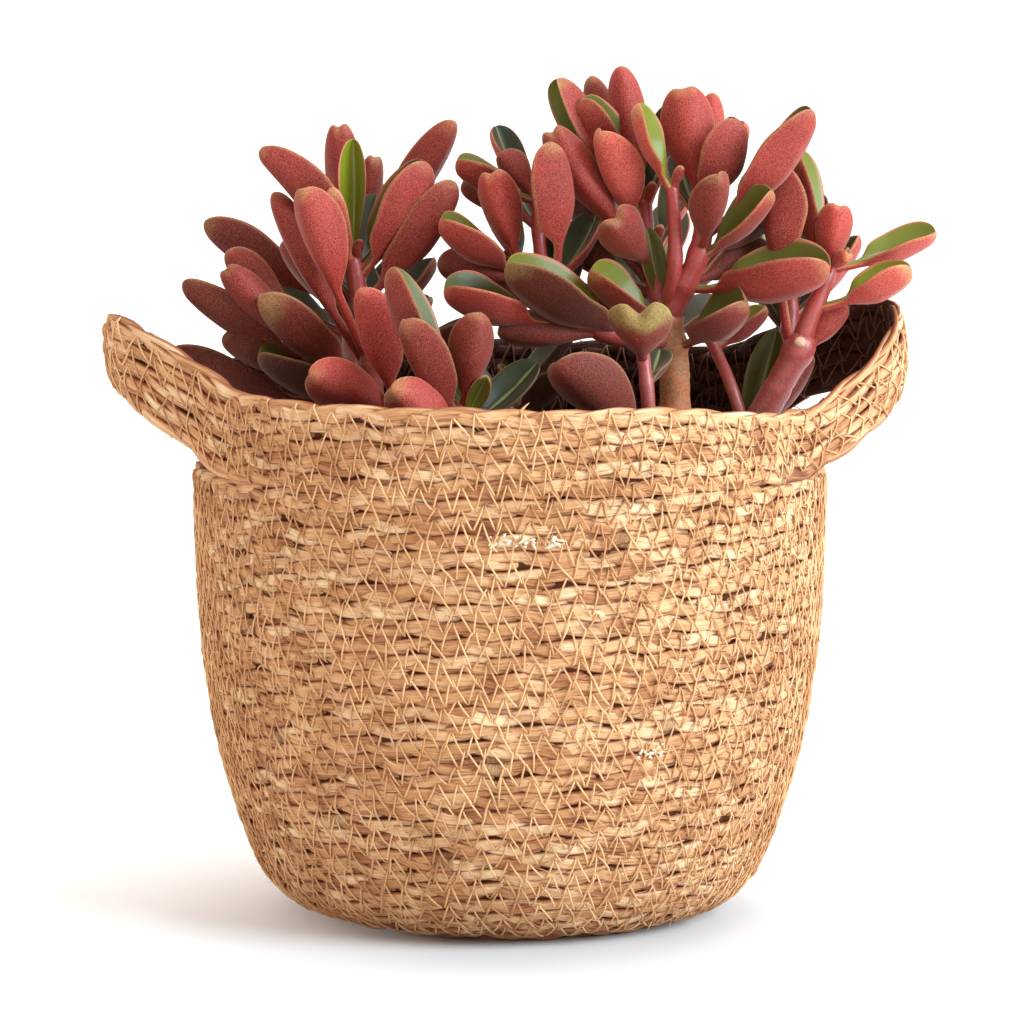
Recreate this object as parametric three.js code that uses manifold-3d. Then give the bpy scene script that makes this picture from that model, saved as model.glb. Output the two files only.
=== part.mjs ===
// A ruby glow peperomia in a grow pot, standing in a coiled seagrass basket with two ear handles.
// Millimetres, +Z up, +X to the right, +Y to the back. The origin is the middle of the basket's underside.
import * as THREE from 'three';
import { mergeVertices } from 'three/addons/utils/BufferGeometryUtils.js';
import Module from 'manifold-3d';

const wasm = await Module();
wasm.setup();

// Basket: the plait is about 4 mm wide, and the five rows of the rim band rise into the ears.
// The wall's curve is given as radius and height, from the flat underside to where the ears leave it.
const ROW = 4.1;
const ROWS_PER_RIB = 2;
const RIB_CREST = 0.8;
const RIB_VALLEY = -0.4;
const BASKET_WALL = 3.4;
const BASKET_FLOOR = 4.5;
const FLOOR_RADIUS = 47;
const BASKET_RADIUS = 76.3;
const WALL_TOP = 108.5;
const WALL_CURVE = [[46, 0], [56, 5.5], [62, 14], [68, 31], [72, 48], [75, 73], [BASKET_RADIUS, WALL_TOP]];
const LINING_STEP = 6;
const BAND_ROWS = 5;
const BAND_BOTTOM = 106;
const BAND_TOP = 130.2;
const BAND_TILT = 1.3;
const BAND_PROUD = 0.4;
const BODY_COLUMNS = 36;
const BAND_COLUMNS = 52;

// Ears: how far the band's two edges swing out over half an ear's width, and the hump that lifts each edge.
// Widths and middles are in degrees round the basket, counted to the front from the ear's own middle.
const EAR_BELLY = 1.2;
const RIGHT_EAR = {
  swing: { low: 17.5, high: 17.5, half: 31 },
  low: { lift: 21, middle: -7, front: 42, rear: 42 },
  high: { lift: 17, middle: -5, front: 32, rear: 45 },
};
const LEFT_EAR = {
  swing: { low: 18.5, high: 20.5, half: 31 },
  low: { lift: 20, middle: 0, front: 37, rear: 37 },
  high: { lift: 15, middle: 5, front: 30, rear: 24 },
};

// Grow pot and soil
const POT_TOP_RADIUS = 62;
const POT_NECK_RADIUS = 61;
const POT_BASE_RADIUS = 44;
const POT_WALL = 1.3;
const POT_HEIGHT = 105;
const POT_LIP = 1.5;
const POT_LIP_HEIGHT = 7;
const DRAIN_HOLES = 6;
const DRAIN_RADIUS = 4.5;
const DRAIN_CIRCLE = 31;
const DRAIN_SIDES = 10;
const SOIL_EDGE = 103.5;
const SOIL_DOME = 2.5;
const SOIL_LUMP = 0.6;
const SOIL_RINGS = [0.86, 0.6, 0.32, 0.1];
const CLEARANCE = 0.35;
const ROOT_DEPTH = 14;

// Leaves: thick along the middle and thinner at the margin, which is folded up towards the upper face.
// Stations and the stalk are shares of the leaf's length, and most of its thickness lies under its middle.
const LEAF_THICK = 2.5;
const LEAF_MARGIN = 1.1;
const LEAF_UNDER = 0.6;
const LEAF_UNDER_REACH = 0.88;
const LEAF_FOLD = 27;
const LEAF_BOW = 0.05;
const LEAF_NOTCH = 0.012;
const LEAF_STATIONS = [0.34, 0.76, 0.965];
const LEAF_STALK = 0.14;
const LONG_STALK = 0.18;
const STALK_WIDTH = 2.4;
const STALK_THICK = 2;
const STALK_MARGIN = 1.6;
const GOLDEN_TURN = 0.618;
const ROOT_SUNK = 1;
const STEM_SIDES = 6;
const STEM_STEP = 9;

// The place that the photograph was taken from, to turn one of its pixels and a depth into a place.
const VIEW = { right: 0.5, back: -1300, up: 256, pitch: 7, focal: 5400, middle: 512 };

const radians = THREE.MathUtils.degToRad;
const vector = (x, y, z) => new THREE.Vector3(x, y, z);

function fromPhoto([across, down, back]) {
  const reach = back - VIEW.back;
  const pitch = radians(VIEW.pitch);
  const drop = pitch - Math.atan((VIEW.middle - down) / VIEW.focal);
  const up = VIEW.up - reach * Math.tan(drop);
  const depth = reach * Math.cos(pitch) + (VIEW.up - up) * Math.sin(pitch);
  return vector(VIEW.right + ((across - VIEW.middle) / VIEW.focal) * depth, back, up);
}

// A repeatable number from 0 to 1 for each whole number.
function wobble(seed) {
  const value = Math.sin(seed * 12.9898) * 43758.5453;
  return value - Math.floor(value);
}

// A smooth hump that is 1 in the middle and 0 from half a width outwards.
function hump(offset, half) {
  return Math.abs(offset) < half ? 0.5 * (1 + Math.cos((Math.PI * offset) / half)) : 0;
}

// Six times the volume that a closed skin holds, negative where its faces point inwards.
function enclosed(places, faces) {
  const corner = (index) => vector(...places.slice(3 * index, 3 * index + 3));
  let sum = 0;
  for (let face = 0; face < faces.length; face += 3) {
    sum += corner(faces[face]).dot(corner(faces[face + 1]).cross(corner(faces[face + 2])));
  }
  return sum;
}

function solidOf(geometry) {
  return new wasm.Manifold(new wasm.Mesh({
    numProp: 3,
    vertProperties: new Float32Array(geometry.attributes.position.array),
    triVerts: new Uint32Array(geometry.index.array),
  }));
}

function skin(places, faces) {
  const geometry = new THREE.BufferGeometry();
  geometry.setAttribute('position', new THREE.Float32BufferAttribute(places, 3));
  geometry.setIndex(faces);
  return mergeVertices(geometry, 1e-4);
}

// A closed solid through rings of equal length: fans close its ends, or its last ring meets the first.
function loft(rings, looped = false, fanCorner = 0) {
  const sides = rings[0].length;
  const places = rings.flat().flatMap((point) => [point.x, point.y, point.z]);
  const faces = [];
  const spans = looped ? rings.length : rings.length - 1;
  for (let span = 0; span < spans; span += 1) {
    const near = span * sides;
    const far = ((span + 1) % rings.length) * sides;
    for (let side = 0; side < sides; side += 1) {
      const next = (side + 1) % sides;
      faces.push(near + side, near + next, far + next);
      faces.push(near + side, far + next, far + side);
    }
  }
  if (!looped) {
    const last = (rings.length - 1) * sides;
    const corner = (step) => (fanCorner + step) % sides;
    for (let step = 1; step < sides - 1; step += 1) {
      faces.push(corner(0), corner(step + 1), corner(step));
      faces.push(last + corner(0), last + corner(step), last + corner(step + 1));
    }
  }
  return solidOf(skin(places, enclosed(places, faces) < 0 ? faces.reverse() : faces));
}

function circle(radius, height, sides, centre = vector(0, 0, 0)) {
  return Array.from({ length: sides }, (_, index) => {
    const turn = (index / sides) * 2 * Math.PI;
    return vector(centre.x + radius * Math.cos(turn), centre.y + radius * Math.sin(turn), height);
  });
}

// A round solid whose profile runs from its underside, up the outside and down to its inner floor.
function turned(profile, sides) {
  return loft(profile.map(([radius, height]) => circle(radius, height, sides)));
}

// Leaves that meet can seal a tiny hollow between them, which is filled: only the outer skin is kept.
function outerBody(solid) {
  return solid.decompose().reduce((most, body) => (body.volume() > most.volume() ? body : most));
}

function meshOf(name, solid, material) {
  const { vertProperties, triVerts } = solid.getMesh();
  const geometry = new THREE.BufferGeometry();
  geometry.setAttribute('position', new THREE.Float32BufferAttribute(vertProperties, 3));
  geometry.setIndex(Array.from(triVerts));
  geometry.computeVertexNormals();
  const mesh = new THREE.Mesh(geometry, material);
  mesh.name = name;
  return mesh;
}

function finish(color, roughness) {
  return new THREE.MeshStandardMaterial({ color, roughness, metalness: 0 });
}

// The basket's wall: a curve from the flat underside up to the full radius, ribbed by the rows of plait.
function basketBody() {
  const knots = WALL_CURVE.map(([radius, height]) => new THREE.Vector2(radius, height));
  const heel = new THREE.SplineCurve(knots);
  const halves = 2 * Math.round(heel.getLength() / (ROW * ROWS_PER_RIB));
  const outside = [];
  const lining = [];
  for (let half = 0; half <= halves; half += 1) {
    const place = heel.getPointAt(half / halves);
    const along = heel.getTangentAt(half / halves);
    const rib = half % 2 ? RIB_CREST : RIB_VALLEY;
    const outward = half === 0 || half === halves ? 0 : rib;
    outside.push([place.x + along.y * outward, Math.max(0, place.y - along.x * outward)]);
    const height = place.y + along.x * BASKET_WALL;
    if (half % LINING_STEP === 0 && height > BASKET_FLOOR + 1) {
      lining.unshift([place.x - along.y * BASKET_WALL, height]);
    }
  }
  const rimEdge = [BASKET_RADIUS - BASKET_WALL, WALL_TOP];
  return turned([...outside, rimEdge, ...lining, [FLOOR_RADIUS, BASKET_FLOOR]], BODY_COLUMNS);
}

// How high one edge of the rim band is lifted at so many degrees in front of an ear's middle.
function edgeLift(toFront, { lift, middle, front, rear }) {
  return lift * hump(toFront - middle, toFront > middle ? front : rear);
}

// The rim band's two edges at an angle round the basket, which swing out and up at each ear.
function bandShape(angle) {
  const aroundRight = 180 - THREE.MathUtils.euclideanModulo(angle + 180, 360);
  const isRight = Math.abs(aroundRight) < 90;
  const toFront = isRight ? aroundRight : THREE.MathUtils.euclideanModulo(angle, 360) - 180;
  const ear = isRight ? RIGHT_EAR : LEFT_EAR;
  const swing = hump(toFront, ear.swing.half);
  return {
    lowRadius: BASKET_RADIUS + ear.swing.low * swing,
    highRadius: BASKET_RADIUS + ear.swing.high * swing,
    belly: EAR_BELLY * swing,
    low: BAND_BOTTOM + edgeLift(toFront, ear.low),
    high: BAND_TOP + BAND_TILT * Math.sin(radians(angle)) + edgeLift(toFront, ear.high),
  };
}

// The five rows at the rim, which leave the wall at each ear.
function rimBand() {
  const rings = [];
  for (let column = 0; column < BAND_COLUMNS; column += 1) {
    const angle = (column / BAND_COLUMNS) * 360;
    const shape = bandShape(angle);
    const outward = vector(Math.cos(radians(angle)), Math.sin(radians(angle)), 0);
    const place = (share, proud) => {
      const radius = THREE.MathUtils.lerp(shape.lowRadius, shape.highRadius, share);
      const swell = shape.belly * Math.sin(Math.PI * share) + proud;
      const height = THREE.MathUtils.lerp(shape.low, shape.high, share);
      return outward.clone().multiplyScalar(radius + swell).setZ(height);
    };
    const ring = [];
    for (let half = 0; half <= 2 * BAND_ROWS; half += 1) {
      ring.push(place(half / (2 * BAND_ROWS), half % 2 ? BAND_PROUD + RIB_CREST : BAND_PROUD));
    }
    for (const share of [1, 0.5, 0]) {
      ring.push(place(share, -BASKET_WALL - BAND_PROUD));
    }
    rings.push(ring);
  }
  return loft(rings, true);
}

function basket() {
  return basketBody().add(rimBand());
}

// The grow pot: a tapered shell with a rolled lip, standing on the basket's floor, with drain holes.
function growPot() {
  const foot = BASKET_FLOOR + CLEARANCE;
  const top = foot + POT_HEIGHT;
  const underLip = top - POT_LIP_HEIGHT;
  let pot = turned([
    [POT_BASE_RADIUS, foot],
    [POT_NECK_RADIUS, underLip],
    [POT_TOP_RADIUS + POT_LIP, underLip],
    [POT_TOP_RADIUS + POT_LIP, top],
    [POT_TOP_RADIUS - POT_WALL, top],
    [POT_NECK_RADIUS - POT_WALL, underLip],
    [POT_BASE_RADIUS - POT_WALL, foot + POT_WALL],
  ], BODY_COLUMNS);
  for (let hole = 0; hole < DRAIN_HOLES; hole += 1) {
    const turn = (hole / DRAIN_HOLES) * 2 * Math.PI;
    const centre = vector(DRAIN_CIRCLE * Math.cos(turn), DRAIN_CIRCLE * Math.sin(turn), 0);
    const ends = [foot - 1, foot + POT_WALL + 1];
    pot = pot.subtract(loft(ends.map((height) => circle(DRAIN_RADIUS, height, DRAIN_SIDES, centre))));
  }
  return pot;
}

// The potting soil fills the grow pot and is a little domed and lumpy on top.
function pottingSoil(holes) {
  const foot = BASKET_FLOOR + CLEARANCE + POT_WALL + CLEARANCE;
  const inner = (height) => {
    const share = (height - BASKET_FLOOR) / (POT_HEIGHT - POT_LIP_HEIGHT);
    return THREE.MathUtils.lerp(POT_BASE_RADIUS, POT_NECK_RADIUS, share) - POT_WALL - 2 * CLEARANCE;
  };
  const edge = inner(SOIL_EDGE) - 1;
  const rings = [circle(inner(foot) - 1, foot, BODY_COLUMNS), circle(edge, SOIL_EDGE, BODY_COLUMNS)];
  for (const share of SOIL_RINGS) {
    rings.push(circle(edge * share, SOIL_EDGE, BODY_COLUMNS).map((point, index) => {
      const lump = SOIL_LUMP * Math.sin(index * 1.9 + share * 31);
      return point.setZ(SOIL_EDGE + SOIL_DOME * (1 - share * share) + lump * Math.min(1, share * 2));
    }));
  }
  return holes.reduce((soil, hole) => soil.subtract(hole), loft(rings));
}

function stemCurve(way) {
  return new THREE.CatmullRomCurve3(way, false, 'centripetal');
}

// A tube along a curve that thins from its first girth to its last.
function tube(curve, girth, extra = 0) {
  const steps = Math.max(2, Math.round(curve.getLength() / STEM_STEP));
  const rings = [];
  let across = vector(1, 0, 0);
  for (let step = 0; step <= steps; step += 1) {
    const along = curve.getTangentAt(step / steps);
    const forward = vector().crossVectors(along, across).normalize();
    across = vector().crossVectors(forward, along).normalize();
    const centre = curve.getPointAt(step / steps);
    const radius = THREE.MathUtils.lerp(girth[0], girth[1], step / steps) + extra;
    rings.push(Array.from({ length: STEM_SIDES }, (_, side) => {
      const turn = (side / STEM_SIDES) * 2 * Math.PI;
      return centre.clone()
        .addScaledVector(across, radius * Math.cos(turn))
        .addScaledVector(forward, radius * Math.sin(turn));
    }));
  }
  return loft(rings);
}

// The half width of a leaf from the end of its stalk to its tip, as a share of the widest half.
function leafOutline(share) {
  return (share ** 0.9 * (1 - share) ** 0.45) / 0.4234;
}

// One leaf: a stalk, then a thick boat-shaped blade folded along its middle. The direction that its green
// upper face looks in is turned by face from straight away from the viewer, anticlockwise in the picture.
function leafSolid(base, tip, { wide, face, stalk = LEAF_STALK, fold = LEAF_FOLD }) {
  const run = tip.clone().sub(base);
  const long = run.length();
  const ahead = run.clone().normalize();
  const away = vector(0, 1, 0).addScaledVector(ahead, -ahead.y).normalize();
  const beside = vector().crossVectors(ahead, away);
  const turn = radians(face);
  const upper = away.multiplyScalar(Math.cos(turn)).addScaledVector(beside, Math.sin(turn));
  const side = vector().crossVectors(ahead, upper);
  const centreAt = (share) => base.clone()
    .addScaledVector(run, share)
    .addScaledVector(upper, -LEAF_BOW * long * 4 * share * (1 - share));
  const ring = (share, half, thick, margin, pull) => {
    const centre = centreAt(share);
    const edge = (sign, reach, lift) => centre.clone()
      .addScaledVector(side, sign * reach * half)
      .addScaledVector(upper, reach * half * Math.tan(radians(fold)) + lift);
    const middle = (lift) => centre.clone().addScaledVector(upper, lift).addScaledVector(ahead, -pull);
    const under = -LEAF_UNDER * margin;
    const over = (1 - LEAF_UNDER) * margin;
    return [middle(-LEAF_UNDER * thick), edge(1, LEAF_UNDER_REACH, under), edge(1, 1, over),
      middle((1 - LEAF_UNDER) * thick), edge(-1, 1, over), edge(-1, LEAF_UNDER_REACH, under)];
  };
  const rings = [ring(0, STALK_WIDTH / 2, STALK_THICK, STALK_MARGIN, 0)];
  const stations = stalk > LONG_STALK ? [0, ...LEAF_STATIONS] : LEAF_STATIONS;
  for (const station of stations) {
    const blade = leafOutline(station);
    const half = Math.max(STALK_WIDTH / 2, (wide / 2) * blade);
    const thick = THREE.MathUtils.lerp(STALK_THICK, LEAF_THICK, Math.min(1, 1.5 * blade));
    const pull = station === LEAF_STATIONS.at(-1) ? LEAF_NOTCH * long : 0;
    rings.push(ring(stalk + (1 - stalk) * station, half, thick, LEAF_MARGIN, pull));
  }
  return loft(rings, false, 3);
}

// Leaves on the side that the photograph doesn't show: they climb the stem by the golden angle.
function rearLeaves(curve, rear, seed) {
  const leaves = [];
  for (let index = 0; index < rear.count; index += 1) {
    const share = (index + 0.5) / rear.count;
    const at = THREE.MathUtils.lerp(rear.from, 1, share);
    const swing = THREE.MathUtils.euclideanModulo(index * GOLDEN_TURN + wobble(seed), 1) - 0.5;
    const heading = radians(rear.heading + rear.spread * swing);
    const lift = THREE.MathUtils.lerp(rear.lift[0], rear.lift[1], share);
    const climb = radians(lift + 10 * (wobble(seed + index) - 0.5));
    const long = rear.long * (0.88 + 0.24 * wobble(seed + 7 * index + 3));
    const level = Math.cos(climb);
    const out = vector(Math.cos(heading) * level, Math.sin(heading) * level, Math.sin(climb));
    const tip = curve.getPointAt(at).addScaledVector(out, long);
    leaves.push({ at, tip, wide: rear.wide, face: inward(out) });
  }
  return leaves;
}

// The turn that makes a leaf's upper face look up and in towards its own stem.
function inward(out) {
  const away = vector(0, 1, 0).addScaledVector(out, -out.y).normalize();
  const beside = vector().crossVectors(out, away);
  const up = vector(0, 0, 1);
  return THREE.MathUtils.radToDeg(Math.atan2(up.dot(beside), up.dot(away)));
}

// The shoots. A way and a tip are picked in the photograph: pixels across, pixels down, millimetres back.
// A tip's third number is how far back it lies from the leaf's root. The root's share of the stem is at.
const SHOOTS = {
  left_plant: [
    {
      way: [[374, 484, 4], [374, 430, 4], [372, 380, 3], [366, 330, 1], [358, 290, 0], [353, 262, 0]],
      girth: [3.6, 1.9],
      rooted: true,
      leaves: [
        { at: 0.97, tip: [261, 143, -7], wide: 10.5, face: -15 },
        { at: 1, tip: [353, 138, 5], wide: 7.5, face: 180 },
        { at: 0.98, tip: [331, 187, -6], wide: 6.5, face: -30 },
        { at: 0.94, tip: [426, 161, -5], wide: 12, face: 35 },
        { at: 0.64, tip: [302, 187, -15], wide: 12, face: -20, stalk: 0.42 },
        { at: 0.62, tip: [273, 192, -3], wide: 9, face: -30, stalk: 0.3 },
        { at: 0.86, tip: [455, 181, -4], wide: 9.5, face: 20 },
        { at: 0.58, tip: [260, 296, -17], wide: 14, face: -25, stalk: 0.2 },
        { at: 0.49, tip: [258, 352, -13], wide: 10, face: -50 },
        { at: 0.75, tip: [281, 236, 9], wide: 10, face: -40 },
      ],
      rear: { count: 6, from: 0.6, heading: 80, spread: 150, lift: [25, 62], long: 27, wide: 10 },
    },
    {
      way: [[374, 446, 4], [345, 420, 2], [318, 392, 0], [310, 362, -1], [308, 345, -1]],
      girth: [2.6, 1.8],
      leaves: [
        { at: 0.98, tip: [227, 250, 2], wide: 11, face: -15 },
        { at: 0.95, tip: [222, 266, -6], wide: 8.5, face: -10 },
        { at: 0.9, tip: [183, 281, -1], wide: 9, face: -25 },
        { at: 0.74, tip: [222, 336, -2], wide: 9.5, face: -30 },
        { at: 0.5, tip: [165, 356, 5], wide: 13, face: -35, stalk: 0.2 },
      ],
    },
    {
      way: [[374, 452, 0], [386, 424, -10], [402, 402, -16]],
      girth: [2.2, 1.6],
      leaves: [
        { at: 0.95, tip: [362, 287, -5], wide: 12.5, face: -20 },
        { at: 0.85, tip: [311, 374, -12], wide: 13, face: -25 },
      ],
    },
    {
      way: [[374, 446, 6], [362, 400, 18], [352, 350, 28], [350, 300, 31], [352, 266, 30]],
      girth: [2.8, 1.8],
      leaves: [
        { at: 0.98, tip: [338, 119, -8], wide: 8, face: 0 },
        { at: 1, tip: [376, 152, -5], wide: 7, face: 10 },
        { at: 0.97, tip: [455, 120, -8], wide: 9.5, face: 15, stalk: 0.2 },
        { at: 0.82, tip: [204, 221, -6], wide: 11.5, face: -30, stalk: 0.2 },
      ],
      rear: { count: 8, from: 0.42, heading: 95, spread: 190, lift: [12, 58], long: 28, wide: 10.5 },
    },
  ],
  front_left_shoot: [
    {
      way: [[462, 494, -34], [462, 440, -34], [462, 410, -34]],
      girth: [2.6, 1.8],
      rooted: true,
      leaves: [
        { at: 0.78, tip: [376, 388, -9], wide: 12.5, face: -30 },
        { at: 0.93, tip: [405, 319, -9], wide: 12.5, face: -20 },
        { at: 0.97, tip: [392, 267, 2], wide: 11, face: -45 },
        { at: 1, tip: [478, 312, -3], wide: 10.5, face: 25 },
        { at: 0.85, tip: [538, 362, 8], wide: 9, face: 150 },
        { at: 0.9, tip: [487, 376, -5], wide: 5, face: 180 },
      ],
      rear: { count: 2, from: 0.7, heading: 70, spread: 90, lift: [20, 35], long: 20, wide: 8 },
    },
  ],
  centre_plant: [
    {
      way: [[675, 484, -4], [675, 400, -4], [673, 350, -4], [666, 316, -4]],
      girth: [4.4, 3.4],
      rooted: true,
      leaves: [
        { at: 0.97, tip: [591, 270, -12], wide: 11, face: -50 },
        { at: 0.98, tip: [646, 227, 3], wide: 6.5, face: 190 },
        { at: 0.86, tip: [745, 300, -15], wide: 14, face: 20 },
      ],
    },
    {
      way: [[670, 340, -4], [630, 338, -9], [590, 325, -10], [556, 302, -8], [530, 280, -5], [518, 264, -4]],
      girth: [2.8, 1.8],
      leaves: [
        { at: 1, tip: [489, 168, -6], wide: 10, face: -10 },
        { at: 0.74, tip: [550, 141, -8], wide: 10.5, face: -5, stalk: 0.3 },
        { at: 0.95, tip: [440, 219, -10], wide: 10.5, face: -30 },
        { at: 0.42, tip: [443, 288, -12], wide: 12, face: -20, stalk: 0.4 },
        { at: 0.9, tip: [437, 262, 3], wide: 10.5, face: -20 },
        { at: 0.4, tip: [497, 332, -4], wide: 10, face: -30 },
        { at: 0.22, tip: [507, 264, -17], wide: 16, face: -25 },
      ],
      rear: { count: 5, from: 0.25, heading: 95, spread: 150, lift: [15, 60], long: 27, wide: 10.5 },
    },
    {
      way: [[548, 296, -5], [540, 250, 2], [538, 215, 5], [536, 195, 6]],
      girth: [1.8, 1.5],
      leaves: [
        { at: 0.95, tip: [457, 160, -6], wide: 9.5, face: -30 },
        { at: 1, tip: [500, 152, 3], wide: 7.5, face: -20 },
        { at: 0.7, tip: [462, 182, 6], wide: 8, face: 60 },
      ],
      rear: { count: 3, from: 0.6, heading: 95, spread: 120, lift: [30, 60], long: 23, wide: 9 },
    },
    {
      way: [[666, 318, -4], [655, 285, 0], [648, 255, 4], [645, 225, 8], [644, 205, 9]],
      girth: [2.6, 1.7],
      leaves: [
        { at: 0.5, tip: [556, 77, 1], wide: 9.5, face: 45, stalk: 0.32 },
        { at: 0.44, tip: [547, 125, -8], wide: 9.5, face: -5, stalk: 0.3 },
        { at: 0.95, tip: [590, 75, 10], wide: 8, face: 0 },
        { at: 1, tip: [620, 65, 3], wide: 9, face: 0 },
        { at: 0.9, tip: [583, 97, -9], wide: 12, face: -40 },
        { at: 0.72, tip: [601, 130, -17], wide: 13.5, face: -15, stalk: 0.25 },
        { at: 0.45, tip: [612, 213, -20], wide: 11.5, face: -20 },
      ],
      rear: { count: 3, from: 0.8, heading: 100, spread: 130, lift: [45, 70], long: 25, wide: 9.5 },
    },
    {
      way: [[668, 316, -4], [675, 262, -9], [674, 215, -9], [672, 189, -8]],
      girth: [2.2, 1.5],
      leaves: [
        { at: 1, tip: [638, 103, -3], wide: 9, face: -115 },
      ],
    },
    {
      way: [[668, 318, -4], [682, 290, -6], [698, 256, -8], [703, 228, -5], [701, 205, -2]],
      girth: [3.2, 1.8],
      leaves: [
        { at: 1, tip: [682, 83, 2], wide: 13, face: 0 },
        { at: 0.97, tip: [713, 92, 10], wide: 7.5, face: 10 },
        { at: 0.93, tip: [736, 118, -6], wide: 12, face: 20 },
        { at: 0.72, tip: [813, 108, -6], wide: 13.5, face: 15, stalk: 0.2 },
        { at: 0.62, tip: [718, 174, -16], wide: 10.5, face: 20 },
        { at: 0.55, tip: [772, 190, -9], wide: 9, face: 80 },
        { at: 0.6, tip: [776, 213, 13], wide: 9, face: 40 },
        { at: 0.3, tip: [831, 266, -14], wide: 16, face: 25 },
        { at: 0.35, tip: [774, 250, 10], wide: 10, face: 25 },
      ],
      rear: { count: 3, from: 0.8, heading: 80, spread: 120, lift: [40, 65], long: 25, wide: 10 },
    },
    {
      way: [[675, 410, -2], [672, 368, 12], [662, 325, 26], [656, 280, 34], [654, 248, 36]],
      girth: [3.2, 2],
      rear: { count: 10, from: 0.5, heading: 118, spread: 220, lift: [10, 60], long: 29, wide: 11 },
    },
  ],
  front_centre_shoot: [
    {
      way: [[650, 494, -36], [650, 440, -36], [648, 400, -36], [643, 354, -34]],
      girth: [2.2, 1.5],
      rooted: true,
      leaves: [
        { at: 0.97, tip: [640, 299, -22], wide: 15, face: -20 },
        { at: 0.6, tip: [556, 362, -16], wide: 16, face: -20 },
      ],
      rear: { count: 2, from: 0.4, heading: 60, spread: 60, lift: [25, 25], long: 17, wide: 8 },
    },
  ],
  right_plant: [
    {
      way: [[729, 484, -6], [740, 452, -7], [765, 410, -8], [800, 347, -8]],
      girth: [3.7, 3.5],
      rooted: true,
      leaves: [
        { at: 0.97, tip: [782, 164, 3], wide: 12.5, face: -15, stalk: 0.42 },
        { at: 0.42, tip: [777, 329, 8], wide: 8.5, face: 160 },
        { at: 0.5, tip: [812, 355, 12], wide: 7.5, face: 20 },
        { at: 0.98, tip: [846, 305, 6], wide: 8, face: 30 },
      ],
    },
    {
      way: [[743, 420, -7], [728, 378, -3], [713, 345, 4]],
      girth: [1.6, 1.4],
      leaves: [
        { at: 0.97, tip: [766, 307, 6], wide: 8, face: 70 },
      ],
    },
    {
      way: [[798, 350, -8], [812, 312, -8], [825, 284, -7], [829, 264, -5]],
      girth: [2.6, 1.7],
      leaves: [
        { at: 0.9, tip: [797, 149, 8], wide: 9, face: -70 },
        { at: 0.85, tip: [840, 202, -3], wide: 9, face: 5 },
        { at: 0.95, tip: [937, 231, 4], wide: 10.5, face: 120, stalk: 0.25 },
        { at: 0.5, tip: [912, 268, -5], wide: 10, face: 35, stalk: 0.25 },
        { at: 1, tip: [849, 254, -10], wide: 4, face: 20 },
      ],
    },
    {
      way: [[748, 440, -5], [762, 402, 6], [782, 365, 16], [790, 320, 20], [788, 284, 21]],
      girth: [2.6, 1.8],
      rear: { count: 6, from: 0.72, heading: 78, spread: 110, lift: [38, 62], long: 26, wide: 10 },
    },
  ],
  back_shoot: [
    {
      way: [[512, 455, 40], [512, 420, 40], [512, 385, 41]],
      girth: [2.4, 1.8],
      rooted: true,
      rear: { count: 7, from: 0.45, heading: 90, spread: 340, lift: [8, 40], long: 22, wide: 10 },
    },
  ],
};

function wayOf(stem, isHole = false) {
  const way = stem.way.map(fromPhoto);
  if (stem.rooted) {
    const depth = ROOT_DEPTH + (isHole ? CLEARANCE : 0);
    way.unshift(way[0].clone().setZ(way[0].z - depth));
  }
  return way;
}

// A leaf's root lies just under the bark, on the side of the stem that the leaf grows from.
function rootOf(curve, girth, { at, tip }) {
  const base = curve.getPointAt(at);
  const along = curve.getTangentAt(at);
  const out = tip.clone().sub(base).normalize();
  const sideways = out.addScaledVector(along, -out.dot(along));
  const depth = Math.max(0, THREE.MathUtils.lerp(girth[0], girth[1], at) - ROOT_SUNK);
  return base.addScaledVector(sideways, depth);
}

function stemSolid(stem, seed) {
  const curve = stemCurve(wayOf(stem));
  const placed = (stem.leaves ?? []).map((leaf) => {
    const [across, down, back] = leaf.tip;
    return { ...leaf, tip: fromPhoto([across, down, curve.getPointAt(leaf.at).y + back]) };
  });
  const hidden = stem.rear ? rearLeaves(curve, stem.rear, seed) : [];
  const grow = (whole, leaf) => whole.add(leafSolid(rootOf(curve, stem.girth, leaf), leaf.tip, leaf));
  return [...placed, ...hidden].reduce(grow, tube(curve, stem.girth));
}

const leafRed = finish('#9c4440', 0.7);
const seagrass = finish('#c89a63', 0.85);
const potPlastic = finish('#2c2a28', 0.55);
const soilBrown = finish('#2e1d14', 0.95);

const part = new THREE.Group();
const holes = [];
Object.entries(SHOOTS).forEach(([name, stems], shootIndex) => {
  const solids = stems.map((stem, stemIndex) => stemSolid(stem, 100 * shootIndex + 10 * stemIndex));
  const shoot = outerBody(solids.reduce((whole, solid) => whole.add(solid)));
  holes.push(tube(stemCurve(wayOf(stems[0], true)), stems[0].girth, CLEARANCE));
  part.add(meshOf(name, shoot, leafRed));
});
part.add(meshOf('basket', basket(), seagrass));
part.add(meshOf('nursery_pot', growPot(), potPlastic));
part.add(meshOf('potting_soil', pottingSoil(holes), soilBrown));

export default part;
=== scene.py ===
import math

import bpy
import numpy as np

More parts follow.
